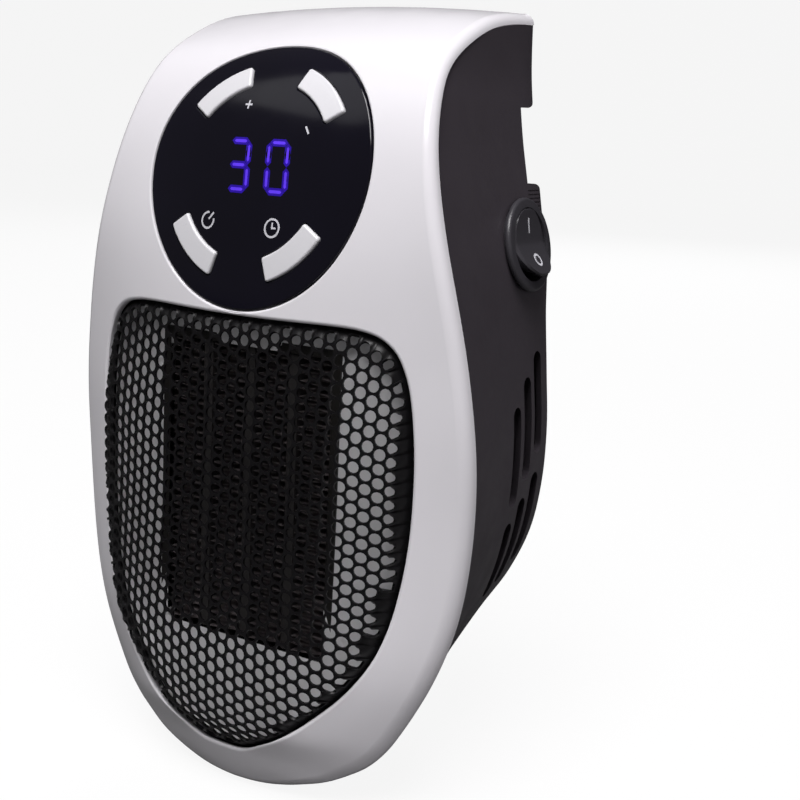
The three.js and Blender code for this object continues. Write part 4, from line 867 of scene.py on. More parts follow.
def screw_tree(reach, turned, material):
    """A cross-headed screw with a thread at every point; the point is where its head meets the seat."""
    tree = Tree("CrossScrews", [
        ("Head radius", "NodeSocketFloat", HEAD_RADIUS), ("Head height", "NodeSocketFloat", HEAD_HEIGHT),
        ("Shank radius", "NodeSocketFloat", SHANK_RADIUS), ("Reach", "NodeSocketFloat", reach),
        ("Turn", "NodeSocketRotation", (math.radians(-90 if turned else 90), 0.0, 0.0)),
        ("Material", "NodeSocketMaterial", material)])
    head_radius, head_height = tree.given("Head radius"), tree.given("Head height")
    core, deep = tree.times(tree.given("Shank radius"), 0.86), tree.given("Reach")
    # The tapered head, with a cross cut into it by two bars
    head = tree.add("GeometryNodeMeshCone", Vertices=28, Radius_Top=tree.times(head_radius, 0.72),
                    Radius_Bottom=head_radius, Depth=head_height)
    size = tree.vector(X=tree.times(head_radius, 1.05), Y=tree.times(head_radius, 0.24), Z=head_height)
    lift = tree.vector(Z=tree.times(head_height, 0.95))
    bars = [tree.add("GeometryNodeTransform", Geometry=tree.add("GeometryNodeMeshCube", Size=size).outputs[0],
                     Translation=lift, Rotation=(0.0, 0.0, turn)).outputs[0] for turn in (0.0, math.pi / 2)]
    recess = tree.add("GeometryNodeMeshBoolean", {"operation": "DIFFERENCE"}, i0=head.outputs[0],
                      i1=tree.merged(*bars))
    # The shank below it, with its thread wound round as a thin coil
    shank = tree.add("GeometryNodeMeshCylinder", Vertices=16, Radius=core, Depth=deep)
    low = tree.add("GeometryNodeTransform", Geometry=shank.outputs[0],
                   Translation=tree.vector(Z=tree.times(deep, -0.5)))
    coil = tree.add("GeometryNodeCurveSpiral", Resolution=16, Rotations=reach / THREAD_PITCH,
                    Start_Radius=core, End_Radius=core, Height=tree.times(deep, 0.9))
    edge = tree.add("GeometryNodeCurvePrimitiveCircle", Resolution=3, Radius=THREAD_RADIUS)
    thread = tree.add("GeometryNodeCurveToMesh", Curve=coil.outputs[0], Profile_Curve=edge.outputs[0],
                      Fill_Caps=True)
    wound = tree.add("GeometryNodeTransform", Geometry=thread.outputs[0],
                     Translation=tree.vector(Z=tree.times(deep, -0.96)))
    whole = tree.merged(recess.outputs[0], low.outputs[0], wound.outputs[0])
    tree.end(tree.spread(whole, Rotation=tree.given("Turn")))
    return tree


# Operators, one for each piece or group of like pieces

class HEATER_OT_front_shell(bpy.types.Operator):
    """Moulded front shell with its rolled rim, outlet opening and lens seat"""
    bl_idname = "heater.front_shell"
    bl_label = "Front shell"

    def execute(self, context):
        body, controls, _ = sizes()
        front = Front()
        wall, gap = body.wall, body.gap
        chamfer = 0.3 * MM
        rim = [*arc_steps(body.edge, 8), (0.0, -body.rim_depth), (wall, -body.rim_depth), (wall, -wall)]
        opening = [*arc_steps(0.9 * MM, 4, -1.0), (0.0, -wall + chamfer), (-chamfer, -wall)]
        ledge = controls.lens_thickness + 2 * gap
        ledge_low, ledge_in, ledge_out = ledge + LEDGE_DEPTH, LEDGE_WIDTH + gap, -wall / 2
        socket = [*arc_steps(0.45 * MM, 3, -1.0), (0.0, -ledge), (ledge_in, -ledge), (ledge_in, -ledge_low),
                  (ledge_out, -ledge_low), (ledge_out, -wall)]
        parts = [formed("shell_moulding", lambda flat, out: front.rim_place(flat, out, wall), [
            (front.rim(body.mesh_step), rim),
            (front.outlet(1.1 * MM), opening),
            (circle(controls.lens_radius + gap, (0, front.lens), 160), socket),
        ], body.mesh_step)]
        for x, z, share in HOUSING_SCREWS:
            meet = share * body.depth - gap
            for side in (1, -1):
                post = rod("post", SHANK_RADIUS + BOSS_WALL + gap, side * x, z, -GREATEST_BULGE, meet, 24)
                bore = rod("bore", SHANK_RADIUS + gap, side * x, z, meet - SCREW_LENGTH, body.depth, 24)
                parts.append(combined(post, [slab(front.place, front, -wall * 0.6, FAR), bore], "DIFFERENCE"))
        dress(joined("shell_moulding", parts), "shell_gloss", replaces=["front_shell"])
        return {"FINISHED"}


def key_outline(controls, angle, spacing, inwards, corner):
    """Outline of a key or its opening, on the flat pattern about the lens centre."""
    middle = (controls.key_inner + controls.key_outer) / 2
    half = controls.key_span / 2 * middle - inwards
    across = (controls.key_outer - controls.key_inner) / 2 - inwards
    flat = rounded_box(half, across, corner, spacing)
    turn = math.radians(angle) - flat[:, 0] / middle
    radius = middle + flat[:, 1]
    centre = Front().lens
    return np.column_stack([radius * np.cos(turn), centre + radius * np.sin(turn)])


class HEATER_OT_control_lens(bpy.types.Operator):
    """Glossy round lens with four arc openings for the keys"""
    bl_idname = "heater.control_lens"
    bl_label = "Control lens"

    def execute(self, context):
        _, controls, _ = sizes()
        front = Front()
        under = -controls.lens_thickness
        edge = circle(controls.lens_radius, (0, front.lens), 160)
        rings = [(edge, [*arc_steps(0.4 * MM, 3), (0.0, under)])]
        for angle in KEY_ANGLES.values():
            outline = key_outline(controls, angle, 0.7 * MM, 0.0, 0.7 * MM)
            rings.append((outline, [*arc_steps(0.2 * MM, 2, -1.0), (0.0, under)]))
        lens = formed("lens_panel", front.place, rings, 1.2 * MM)
        dress(lens, "lens_gloss", replaces=["control_lens"])
        return {"FINISHED"}


class HEATER_OT_keys(bpy.types.Operator):
    """Four arc keys, each with a rounded edge and a stem to its switch"""
    bl_idname = "heater.keys"
    bl_label = "Keys"

    def execute(self, context):
        _, controls, _ = sizes()
        front = Front()
        sides = [*arc_steps(0.5 * MM, 4), (0.0, -2.6 * MM)]
        middle = (controls.key_inner + controls.key_outer) / 2
        spin = Vector((1, 0, 0)).rotation_difference(Vector(PRESS_AXIS)).to_matrix().to_4x4()
        for name, angle in KEY_ANGLES.items():
            outline = key_outline(controls, angle, 0.6 * MM, controls.key_gap, 0.6 * MM)
            cap = formed("cap_" + name, front.place, [(outline, sides)], 0.8 * MM, top=controls.key_rise)
            # The stem runs from within the cap to just before the rear end of the key's solid
            turn = math.radians(angle)
            flat = [(middle * math.cos(turn), front.lens + middle * math.sin(turn))]
            near = front.place(flat, controls.key_rise - 1.6 * MM)[0]
            _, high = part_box("key_" + name)
            reach = (to_frame([near])[0][1] - high[1]) / -PRESS_AXIS[1] - 0.45 * MM
            stem = rod("stem", 1.6 * MM, 0, 0, 0.0, reach, 24, matrix=Matrix.Translation(near) @ spin)
            cap = joined("cap_" + name, [cap, stem])
            dress(cap, "key_satin", body="key_" + name, replaces=["key_" + name])
        return {"FINISHED"}


# Marks, drawn as flat outlines

def bar(points, thickness):
    """Outline of a bar with pointed ends between two points."""
    a, b = (np.array(p, float) for p in points)
    along = (b - a) / np.linalg.norm(b - a)
    across = np.array([-along[1], along[0]]) * thickness / 2
    tip = along * thickness / 2
    return np.array([a, a + tip - across, b - tip - across, b, b - tip + across, a + tip + across])


def ring_arc(centre, radius, thickness, start, end, steps=20):
    """Outline of an open ring between two angles in degrees."""
    turns = [math.radians(start + (end - start) * k / steps) for k in range(steps + 1)]
    outer, inner = ([(centre[0] + r * math.cos(t), centre[1] + r * math.sin(t)) for t in turns]
                    for r in (radius + thickness / 2, radius - thickness / 2))
    return np.array(outer + inner[::-1])


def stroke(start, end, thickness):
    """Outline of a straight stroke with square ends."""
    a, b = np.array(start, float), np.array(end, float)
    across = (b - a) / np.linalg.norm(b - a) @ np.array([[0, 1], [-1, 0]]) * thickness / 2
    return np.array([a - across, b - across, b + across, a + across])


def film(name, place, outlines, low, high):
    """Thin closed prints on a surface: each outline between two levels."""
    skin = Skin()
    for outline in outlines:
        skin.add(*between([place(outline, low), place(outline, high)]))
    return skin.piece(name, 20.0)


def digit_bars(digit, middle, centre, tall):
    """The bars of a leaning digit: wide ones for the glow, and slender ones within them."""
    wide, thick, lean = 4.8 * MM, 1.55 * MM, -0.14
    left, right = middle - wide / 2, middle + wide / 2
    low, high = centre - tall / 2 + thick / 3, centre + tall / 2 - thick / 3
    ends = {"a": ((left, high), (right, high)), "b": ((right, centre), (right, high)),
            "c": ((right, low), (right, centre)), "d": ((left, low), (right, low)),
            "e": ((left, low), (left, centre)), "f": ((left, centre), (left, high)),
            "g": ((left, centre), (right, centre))}
    kinds = []
    for shorter, width in ((0.05 * MM, thick), (0.75 * MM, 0.62 * MM)):
        bars = []
        for name in SEGMENTS[digit]:
            a, b = (np.array(p) for p in ends[name])
            along = (b - a) / np.linalg.norm(b - a)
            flat = bar((a + along * shorter, b - along * shorter), width)
            flat[:, 0] += lean * (flat[:, 1] - centre)
            bars.append(flat)
        kinds.append(bars)
    return kinds


class HEATER_OT_marks(bpy.types.Operator):
    """Lit digits and plain key marks on the lens"""
    bl_idname = "heater.marks"
    bl_label = "Digits and marks"

    def execute(self, context):
        _, controls, _ = sizes()
        front = Front()
        raised = front.lens + 0.5 * MM
        glow, cores = [], []
        for digit, middle in (("3", -3.9 * MM), ("0", 6.2 * MM)):
            wide, slender = digit_bars(digit, middle, raised, controls.digit_height)
            glow += wide
            cores += slender
        halo = film("digit_glow", front.place, glow, 0.005 * MM, 0.015 * MM)
        dress(halo, "digit_glow")
        digits = film("lit_digits", front.place, cores, 0.02 * MM, 0.04 * MM)
        dress(digits, "digit_light")

        def way(angle):
            turn = math.radians(angle)
            return np.array([math.cos(turn), math.sin(turn)])

        centre = np.array([0.0, front.lens])
        line, hand, reach = 0.42 * MM, 0.36 * MM, 0.95 * MM
        plus, minus = (centre + 14.4 * MM * way(angle) for angle in (111, 36))
        slope = way(36)[::-1] * (reach, -reach)
        power, inwards = centre + (-9.6 * MM, -11.2 * MM), way(49)
        clock = centre + (7.6 * MM, -11.6 * MM)
        marks = [
            stroke(plus - (reach, 0), plus + (reach, 0), line),
            stroke(plus + (0, line / 2), plus + (0, reach), line),
            stroke(plus - (0, reach), plus - (0, line / 2), line),
            stroke(minus - slope, minus + slope, line),
            ring_arc(power, 1.6 * MM, line, 49 + 35, 49 + 325),
            stroke(power + inwards * 0.3 * MM, power + inwards * 2.1 * MM, line),
            ring_arc(clock, 1.75 * MM, line, 0, 359.5, 40),
            stroke(clock - (0, line / 2), clock + (0, 1.1 * MM), hand),
            stroke(clock + (hand / 2, 0), clock + (0.95 * MM, 0), hand),
        ]
        prints = film("key_marks", front.place, marks, 0.005 * MM, 0.02 * MM)
        dress(prints, "mark_print")
        return {"FINISHED"}


# Outlet

def open_loops(work):
    """The closed lines of open edges of a mesh, each as a list of its points."""
    onward = {}
    for edge in work.edges:
        if edge.is_boundary:
            a, b = (v.index for v in edge.verts)
            onward.setdefault(a, set()).add(b)
            onward.setdefault(b, set()).add(a)
    loops = []
    while onward:
        here = next(iter(onward))
        loop = []
        while here in onward:
            loop.append(here)
            ahead = [n for n in onward.pop(here) if n in onward]
            if not ahead:
                break
            here = ahead[0]
        loops.append(loop)
    return loops


class HEATER_OT_grille(bpy.types.Operator):
    """Pressed outlet sheet with its field of round holes and rolled edge"""
    bl_idname = "heater.grille"
    bl_label = "Outlet grille"

    def execute(self, context):
        grille = sizes()[2]
        front = Front()
        edge = inset(front.outlet(0.9 * MM), 0.5 * MM)
        column = grille.pitch * math.sqrt(3) / 2
        low, high = edge.min(0), edge.max(0)
        columns, rows = math.ceil(high[0] / column), math.ceil((high[1] - low[1]) / grille.pitch)
        centres = np.array([(c * column, high[1] - (r + (c % 2) / 2) * grille.pitch)
                            for c in range(-columns, columns + 1) for r in range(rows + 1)])
        centres = centres[is_inside(centres, edge)]
        centres = centres[distance_to(centres, edge) > 0.75 * MM]
        tree = perforation_tree(grille.pitch, grille.hole, finish_of("grille_paint"))
        cells = tree.run("cells", [(x, along, 0.0) for x, along in centres], turn=False)
        work = bmesh.new()
        work.from_mesh(cells.data)
        bpy.data.objects.remove(cells)
        points = np.array([v.co[:2] for v in work.verts])
        faces = [tuple(v.index for v in f.verts) for f in work.faces]
        loops = open_loops(work)
        work.free()
        rim = max(loops, key=lambda loop: np.ptp(points[loop][:, 0]))
        # The field's outer points go to the sheet's edge, and holes that cross the margin end at it
        margin = inset(edge, 0.4 * MM)
        others = np.array(sorted(set(range(len(points))) - set(rim)))
        beyond = others[~is_inside(points[others], margin)]
        points[beyond] = nearest_on(points[beyond], margin)
        points[rim] = nearest_on(points[rim], edge)
        # The sheet rises off its rolled edge and stands out at its sides, less towards top and bottom
        fall = np.clip(distance_to(points, edge), 0, grille.roll)
        square = eased(np.abs(points[:, 0]), 0.72 * OUTLET_HALF_WIDTH)
        ends = np.column_stack([high[1] - points[:, 1], points[:, 1] - low[1]])
        fade = np.clip(ends / (26 * MM), 0, 1).prod(1)
        level = GRILLE_DROP + grille.shoulder * square * fade * (fall / grille.roll)
        level += np.sqrt(grille.roll**2 - (grille.roll - fall) ** 2) - grille.roll
        skin = Skin()
        skin.add(front.place(points, level), faces)
        skirt = [GRILLE_DROP - depth for depth in
                 (grille.roll, (grille.roll + grille.skirt) / 2, grille.skirt)]
        skin.add(*between([front.place(points[rim], at) for at in skirt], capped=False))
        sheet = thickened(skin.piece("perforated_sheet", 50.0), grille.sheet, -1.0, 50.0)
        dress(sheet, "grille_paint", replaces=["outlet_grille"])
        return {"FINISHED"}


def radial(outline, centre, count):
    """Points where even directions from a centre meet an outline."""
    a, b = np.asarray(outline), np.roll(outline, -1, axis=0)
    places = []
    for k in range(count):
        turn = (k + 0.5) / count * 2 * math.pi
        way = np.array([math.cos(turn), math.sin(turn)])
        side, run = a - centre, b - a
        lean = way[0] * run[:, 1] - way[1] * run[:, 0]
        lean[np.abs(lean) < 1e-15] = 1e-15
        reach = (side[:, 0] * run[:, 1] - side[:, 1] * run[:, 0]) / lean
        share = (side[:, 0] * way[1] - side[:, 1] * way[0]) / lean
        places.append(centre + way * reach[(share >= 0) & (share <= 1)].max())
    return np.array(places)


class HEATER_OT_duct(bpy.types.Operator):
    """Pale funnel between the heating element and the grille"""
    bl_idname = "heater.duct"
    bl_label = "Outlet duct"

    def execute(self, context):
        body, _, grille = sizes()
        front = Front()
        count, wall = 240, FUNNEL_WALL
        out = GRILLE_DROP - grille.skirt - FUNNEL_GAP
        middle = np.array([0, WINDOW_BOTTOM_SHARE * body.height + WINDOW_HEIGHT / 2])
        mouth, mouth_middle = front.outlet(0.9 * MM), np.array([0, (OUTLET_BOTTOM + OUTLET_TOP) / 2])
        window = rounded_box(WINDOW_HALF, WINDOW_HEIGHT / 2, 0.6 * MM, 1.0 * MM)
        window = radial(window + middle, middle, count)

        def loops(distance, level, depth):
            outline = radial(inset(mouth, distance), mouth_middle, count)
            near, far = front.place(outline, level), at_depth(window, depth)
            lip = [front.place(outline, at) for at in (LIP, (LIP + level) / 2)]
            return lip + [near + (far - near) * share for share in (0, 0.25, 0.5, 0.75, 1)]

        inside, outside = loops(1.9 * MM, out, WINDOW_FRONT), loops(1.4 * MM, out - wall, WINDOW_FRONT + wall)
        funnel = piece("outlet_funnel", *between([*inside, *outside[::-1]], closed=True), 30.0)
        dress(funnel, "funnel_sheet", replaces=["outlet_duct"])
        return {"FINISHED"}


class HEATER_OT_element(bpy.types.Operator):
    """Folded fins between the ceramic bars of the heating element"""
    bl_idname = "heater.element"
    bl_label = "Heating element"

    def execute(self, context):
        body, _, grille = sizes()
        deep = (body.depth - body.housing_wall - WINDOW_FRONT) * ELEMENT_SHARE
        bottom = WINDOW_BOTTOM_SHARE * body.height
        strips = BARS + 1
        width = (2 * WINDOW_HALF - BARS * BAR_WIDTH) / strips
        gap, half = body.gap, grille.fin_sheet / 2
        tree = fin_tree(grille.fin_folds, width - 2 * (gap + half), WINDOW_HEIGHT - 4 * gap, deep - 4 * gap,
                        finish_of("fin_sheet"))
        for index in range(strips):
            left = -WINDOW_HALF + index * (width + BAR_WIDTH) + gap + half
            start = to_frame([(left, WINDOW_FRONT + 2 * gap, bottom + 2 * gap)])
            strip = tree.run(f"folded_fins_{index + 1}", start, turn=False, smooth=20.0)
            strip = thickened(strip, grille.fin_sheet, 0.0, 20.0)
            dress(strip, "fin_sheet", replaces=[f"heater_fins_{index + 1}"])
        return {"FINISHED"}


# Rear housing

def housing_ring(body, depth, distance):
    """Outline of the housing at a depth, moved inwards."""
    share = min(max(depth / body.depth, 0), 1)
    near = catmull([(w * body.half_width, h * body.height) for (w, h), _ in HOUSING], 7)
    far = catmull([(w * body.half_width, h * body.height) for _, (w, h) in HOUSING], 7)
    right = near + (far - near) * share
    right[0, 0] = 0
    return at_depth(inset(mirrored(right), 2 * body.gap + distance), depth)


def housing_space(body, wall):
    """The housing's whole space, or the room within its wall."""
    radius = max(body.housing_edge - wall, body.gap)
    flat = body.depth - wall - radius
    rows = [(depth * MM, wall) for depth in (-30, -20, -10)] + [(flat * k / 14, wall) for k in range(14)]
    for turn in (k / 6 * math.pi / 2 for k in range(7)):
        rows.append((flat + radius * math.sin(turn), wall + radius * (1 - math.cos(turn))))
    return piece("space", *between([housing_ring(body, *row) for row in rows]))


def side_at(body, depth, height):
    """Half-width of the housing's outer side at a depth and height."""
    ring = housing_ring(body, depth, 0.0)
    right = ring[1:len(ring) // 2]
    return float(np.interp(height, right[:, 2], right[:, 0]))


def switch_frame(body):
    """Frame of the rocker switch: out of the side wall, rearwards and up along it."""
    y, z = SWITCH_PLACE[0] * body.depth, SWITCH_PLACE[1] * body.height
    step = BEZEL_RADIUS / 2
    back = Vector((side_at(body, y + step, z) - side_at(body, y - step, z), 2 * step, 0)).normalized()
    rise = Vector((side_at(body, y, z + step) - side_at(body, y, z - step), 0, 2 * step)).normalized()
    out = back.cross(rise).normalized()
    up = out.cross(back).normalized()
    frame_of = Matrix((out, back, up)).transposed().to_4x4()
    return Matrix.Translation((side_at(body, y, z), y, z)) @ frame_of


def slot_tool(body, slot, side):
    """Cutter for an air slot with round ends, which slants rearwards through the side wall."""
    y, z = slot[0] * body.depth, slot[1] * body.height
    flat = rounded_box(SLOT_WIDTH / 2, SLOT_LENGTH * slot[2] / 2, SLOT_WIDTH / 2 - 1e-6, 3 * MM, 8)
    loops = [np.array([(side * (side_at(body, y + a, z + b) + reach), y + a - 0.7 * reach, z + b)
                       for a, b in flat]) for reach in (-2 * body.housing_wall, 3 * MM)]
    return piece("slot", *between(loops))


def notch_tool(wide, floor, depth, past, high):
    """Cutter for the finger notches, which flares out towards the rear face."""
    corner = 4.5 * MM
    upper = [(floor, NOTCH_HALF)]
    for turn in (k / 8 * math.radians(58) for k in range(9)):
        upper.append((depth - corner + corner * math.sin(turn), NOTCH_HALF + corner * (1 - math.cos(turn))))
    upper.append((depth + past, upper[-1][1]))
    flat = upper + [(y, -z) for y, z in reversed(upper)]
    return piece("notches", *between([np.array([(x, y, high + z) for y, z in flat]) for x in (-wide, wide)]))


class HEATER_OT_housing(bpy.types.Operator):
    """Rear housing with its air slots, plug pocket, finger notches and screw bores"""
    bl_idname = "heater.housing"
    bl_label = "Rear housing"

    def execute(self, context):
        body = sizes()[0]
        front = Front()
        wall, gap, depth = body.housing_wall, body.gap, body.depth
        floor, inside = depth - POCKET_DEPTH, depth - POCKET_DEPTH - wall
        pocket, high, wide = DISC_RADIUS + 0.5 * MM, PLUG_HEIGHT, body.half_width
        place, past = switch_frame(body), 6 * MM
        fittings = [
            rod("drum", pocket + wall, 0, high, inside, depth, 96),
            box("bridge", (-wide, inside, high - NOTCH_HALF - wall), (wide, depth, high + NOTCH_HALF + wall)),
            rod("seat", BEZEL_RADIUS + 0.8 * MM, 0, 0, -wall - gap, 0.0, 64, matrix=place),
        ]
        bores = [
            rod("pocket", pocket, 0, high, floor, depth + past, 96),
            rod("hub", HUB_RADIUS + gap, 0, high, inside - past, depth, 64),
            notch_tool(wide, floor, depth, past, high),
            rod("barrel", BARREL_RADIUS + gap, 0, 0, -past, past, 48, matrix=place),
            rod("recess", BEZEL_RADIUS + 1.6 * MM, 0, 0, 0.0, past, 64, matrix=place),
        ]
        for x, z, share in HOUSING_SCREWS:
            meet = share * depth
            for side in (1, -1):
                fittings.append(rod("boss", HEAD_RADIUS + gap + BOSS_WALL, side * x, z, meet, depth, 32))
                bores.append(rod("head", HEAD_RADIUS + gap, side * x, z, meet + wall, depth + past, 32))
                bores.append(rod("shank", SHANK_RADIUS + gap, side * x, z, meet - past, depth, 24))
        for slot in SLOTS:
            bores += [slot_tool(body, slot, side) for side in (1, -1)]
        for side in (1, -1):
            for k in range(GRIPS):
                z = high - NOTCH_HALF - GRIP_START - GRIP_STEP * k
                x = side_at(body, depth * 0.95, z) - GRIP_DEPTH
                low, far = sorted((side * x, side * (x + 4 * MM)))
                bores.append(box("grip", (low, depth - GRIP_LENGTH, z - GRIP_WIDTH / 2),
                                 (far, depth + MM, z + GRIP_WIDTH / 2)))
        shape = combined(housing_space(body, 0.0), [housing_space(body, wall)], "DIFFERENCE", 30.0)
        for fitting in fittings:
            kept = combined(fitting, [housing_space(body, 0.0)], "INTERSECT")
            shape = combined(shape, [kept], "UNION")
        keep, seam = body.wall + SEAM, -body.rim_depth - SEAM
        ahead = slab(lambda flat, out: front.rim_place(flat, out, keep), front, seam, 2 * FAR)
        bores.insert(0, ahead)
        shape = combined(shape, bores, "DIFFERENCE", 30.0)
        shape.name = shape.data.name = "housing_moulding"
        dress(shape, "housing_satin", replaces=["rear_housing"])
        return {"FINISHED"}


class HEATER_OT_switch(bpy.types.Operator):
    """Round rocker switch: bezel, rocker and its plain on and off marks"""
    bl_idname = "heater.switch"
    bl_label = "Rocker switch"

    def execute(self, context):
        body = sizes()[0]
        place = switch_frame(body)
        gap, thick = body.gap, BEZEL_THICKNESS
        barrel_end, room_end, past = -11 * MM, -5.5 * MM, 6 * MM
        flange = rod("switch_bezel", BEZEL_RADIUS, 0, 0, gap, thick, 96, 0.7 * MM, matrix=place)
        barrel = rod("barrel", BARREL_RADIUS, 0, 0, barrel_end, thick - 2 * gap, 64, matrix=place)
        room = rod("room", ROCKER_RADIUS + ROCKER_GAP, 0, 0, room_end, past, 96, matrix=place)
        bezel = combined(combined(flange, [barrel], "UNION"), [room], "DIFFERENCE", 40.0)
        dress(bezel, "switch_satin", replaces=["switch_body"])
        tilt = place @ Matrix.Rotation(math.radians(ROCKER_TILT), 4, "Y")
        radius, proud, waist, deep, lip = ROCKER_RADIUS, 3.4 * MM, 1.6 * MM, 3.0 * MM, 0.55 * MM

        def rounding(reach, limit):
            """How far the rounded edge has fallen at a reach from the middle."""
            past = min(max(0.0, reach - (limit - lip)) / lip, 1.0)
            return lip * (1 - math.sqrt(1 - past**2))

        def crown(up):
            """Level of the paddle's middle line, which rises to both ends."""
            return waist + (proud - waist) * (abs(up) / radius) ** 1.35 - rounding(abs(up), radius)

        ups, across = np.linspace(-radius, radius, 41), np.linspace(-1, 1, 21)
        points, faces = [], []
        for up in ups:
            half = math.sqrt(max(radius**2 - up**2, (0.12 * radius) ** 2))
            foot = math.copysign(min(abs(up), radius * 0.5), up)
            points += [(crown(up) - rounding(abs(share) * half, half), share * half, up) for share in across]
            points += [(-deep, share * half, foot) for share in across]
        over, row = len(across), 2 * len(across)
        for i in range(len(ups) - 1):
            for a in range(i * row, i * row + over - 1):
                faces.append((a, a + 1, a + row + 1, a + row))
                faces.append((a + over, a + row + over, a + row + over + 1, a + over + 1))
            for a in (i * row, i * row + over - 1):
                faces.append((a, a + row, a + row + over, a + over))
        for end in (0, (len(ups) - 1) * row):
            faces += [(a, a + 1, a + over + 1, a + over) for a in range(end, end + over - 1)]
        rocker = piece("rocker_paddle", [tuple(tilt @ Vector(p)) for p in points], faces, 40.0)
        dress(rocker, "switch_satin", body="rocker", replaces=["switch_rocker"])

        def on_rocker(flat, level):
            return np.array([tilt @ Vector((crown(b) + level, a, b)) for a, b in flat])

        line = 0.5 * MM
        marks = [stroke((0, 2.2 * MM), (0, 5.4 * MM), line),
                 ring_arc((0, -3.9 * MM), 1.25 * MM, line, 0, 359.5, 40)]
        prints = film("rocker_marks", on_rocker, marks, 0.005 * MM, 0.03 * MM)
        dress(prints, "mark_print", body="rocker")
        return {"FINISHED"}


class HEATER_OT_plug(bpy.types.Operator):
    """Turning plug disc with its fluted edge, and the two round pins"""
    bl_idname = "heater.plug"
    bl_label = "Plug"

    def execute(self, context):
        body = sizes()[0]
        floor, face = body.depth - POCKET_DEPTH, body.depth + DISC_PROUD
        inside = floor - body.housing_wall
        gap, high = body.gap, PLUG_HEIGHT
        disc = rod("plug_face", DISC_RADIUS, 0, high, floor + gap, face, 168, 0.5 * MM)
        hub = rod("hub", HUB_RADIUS, 0, high, inside, floor + 2 * gap, 64)
        tools, past = [], 5 * MM
        flutes, reach = 42, DISC_RADIUS + 0.55 * MM
        for turn in ((k + 0.5) / flutes * 2 * math.pi for k in range(flutes)):
            tools.append(rod("flute", 1.15 * MM, reach * math.cos(turn), high + reach * math.sin(turn),
                             floor, face - 1.2 * MM, 12))
        for side in (1, -1):
            tools.append(rod("pin_bore", PIN_RADIUS + 0.05 * MM, side * PIN_SPACING, high,
                             inside - past, face + past, 32))
            tools.append(rod("screw_bore", SHANK_RADIUS + gap, 0, high + side * RETAINER_REACH,
                             inside - past, inside + SHORT_SCREW, 20))
        disc = combined(combined(disc, [hub], "UNION"), tools, "DIFFERENCE", 30.0)
        dress(disc, "housing_satin", body="plug", replaces=["plug_disc"])
        rear, nose = inside - gap, 2 * MM
        straight = face + PIN_LENGTH - nose
        rows = [(PIN_HEAD, rear - RETAINER_THICKNESS), (PIN_HEAD, rear), (PIN_RADIUS, rear),
                (PIN_RADIUS, straight)]
        rows += [(PIN_RADIUS * (math.cos(t) + 1) / 2, straight + nose * math.sin(t))
                 for t in (k / 6 * math.pi / 2 for k in range(1, 7))]
        for index, side in enumerate((1, -1), 1):
            loops = [at_depth(circle(radius, (side * PIN_SPACING, high), 40), y) for radius, y in rows]
            pin = piece(f"round_pin_{index}", *between(loops), 30.0)
            dress(pin, "brass_plated", body="plug", replaces=[f"plug_pin_{index}"])
        return {"FINISHED"}


def numbered(kinds, count):
    """The names of like solids, each with its numbers."""
    return [f"{kind}_{k}" for kind in kinds for k in range(1, count + 1)]


class HEATER_OT_screws(bpy.types.Operator):
    """Cross-headed screws of the housing, the fan, the plug and the boards"""
    bl_idname = "heater.screws"
    bl_label = "Screws"

    def execute(self, context):
        for name, body, rear, nodes in (
            ("housing_screw_set", "body", True, numbered(["housing_screw"], 4)),
            ("inner_screw_set", "body", False, numbered(["fan_screw", "board_screw", "carrier_screw"], 2)),
            ("retainer_screw_set", "plug", False, numbered(["retainer_screw"], 2)),
        ):
            points, shank = [], math.inf
            for node in nodes:
                low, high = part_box(node)
                middle = (low + high) / 2
                seat = high.y - HEAD_HEIGHT if rear else low.y + HEAD_HEIGHT
                shank = min(shank, seat - low.y if rear else high.y - seat)
                points.append((middle.x, seat + (HEAD_HEIGHT if rear else -HEAD_HEIGHT) / 2, middle.z))
            tree = screw_tree(shank + HEAD_HEIGHT / 2, rear, finish_of("steel_bright"))
            screws = tree.run(name, points, smooth=30.0)
            dress(screws, "steel_bright", body=body, replaces=nodes)
        return {"FINISHED"}


class HEATER_OT_inner_parts(bpy.types.Operator):
    """Finishes of the pieces inside, which keep their solids' shapes"""
    bl_idname = "heater.inner_parts"
    bl_label = "Inner parts"

    def execute(self, context):
        switches = ["key_switch_" + name for name in KEY_ANGLES]
        for name, nodes in (
            ("board_mask", ["display_board", "power_board"]),
            ("component_black", ["display_module", "fan_shroud", "plug_retainer", *switches]),
            ("mica_sheet", ["element_frame"]),
            ("ceramic_fired", numbered(["ceramic_bar"], BARS)),
            ("steel_bright", ["thermal_cutout", "fan_motor"]),
            ("carrier_pale", ["thermal_fuse", "contact_carrier"]),
            ("fan_plastic", ["fan_wheel"]),
            ("relay_blue", ["relay"]),
            ("capacitor_yellow", ["capacitor"]),
            ("brass_plated", numbered(["contact_track", "switch_terminal"], 2)),
            ("copper_spring", numbered(["contact_leaf"], 2)),
        ):
            for node in nodes:
                coat(frame["nodes"][node].data, name)
        return {"FINISHED"}


CAMERA_LENS, CAMERA_SENSOR, CAMERA_SHIFT = 59.344, 36.0, (-0.0022, -0.01765)
CAMERA_PLACE = (0.17466, -0.2749, 0.00214)
# The camera's ways right, down and forward, as fitted to the photograph
CAMERA_WAYS = ((0.84495, 0.53273, 0.0474), (0.141, -0.1364, -0.98057), (-0.51592, 0.83522, -0.19037))
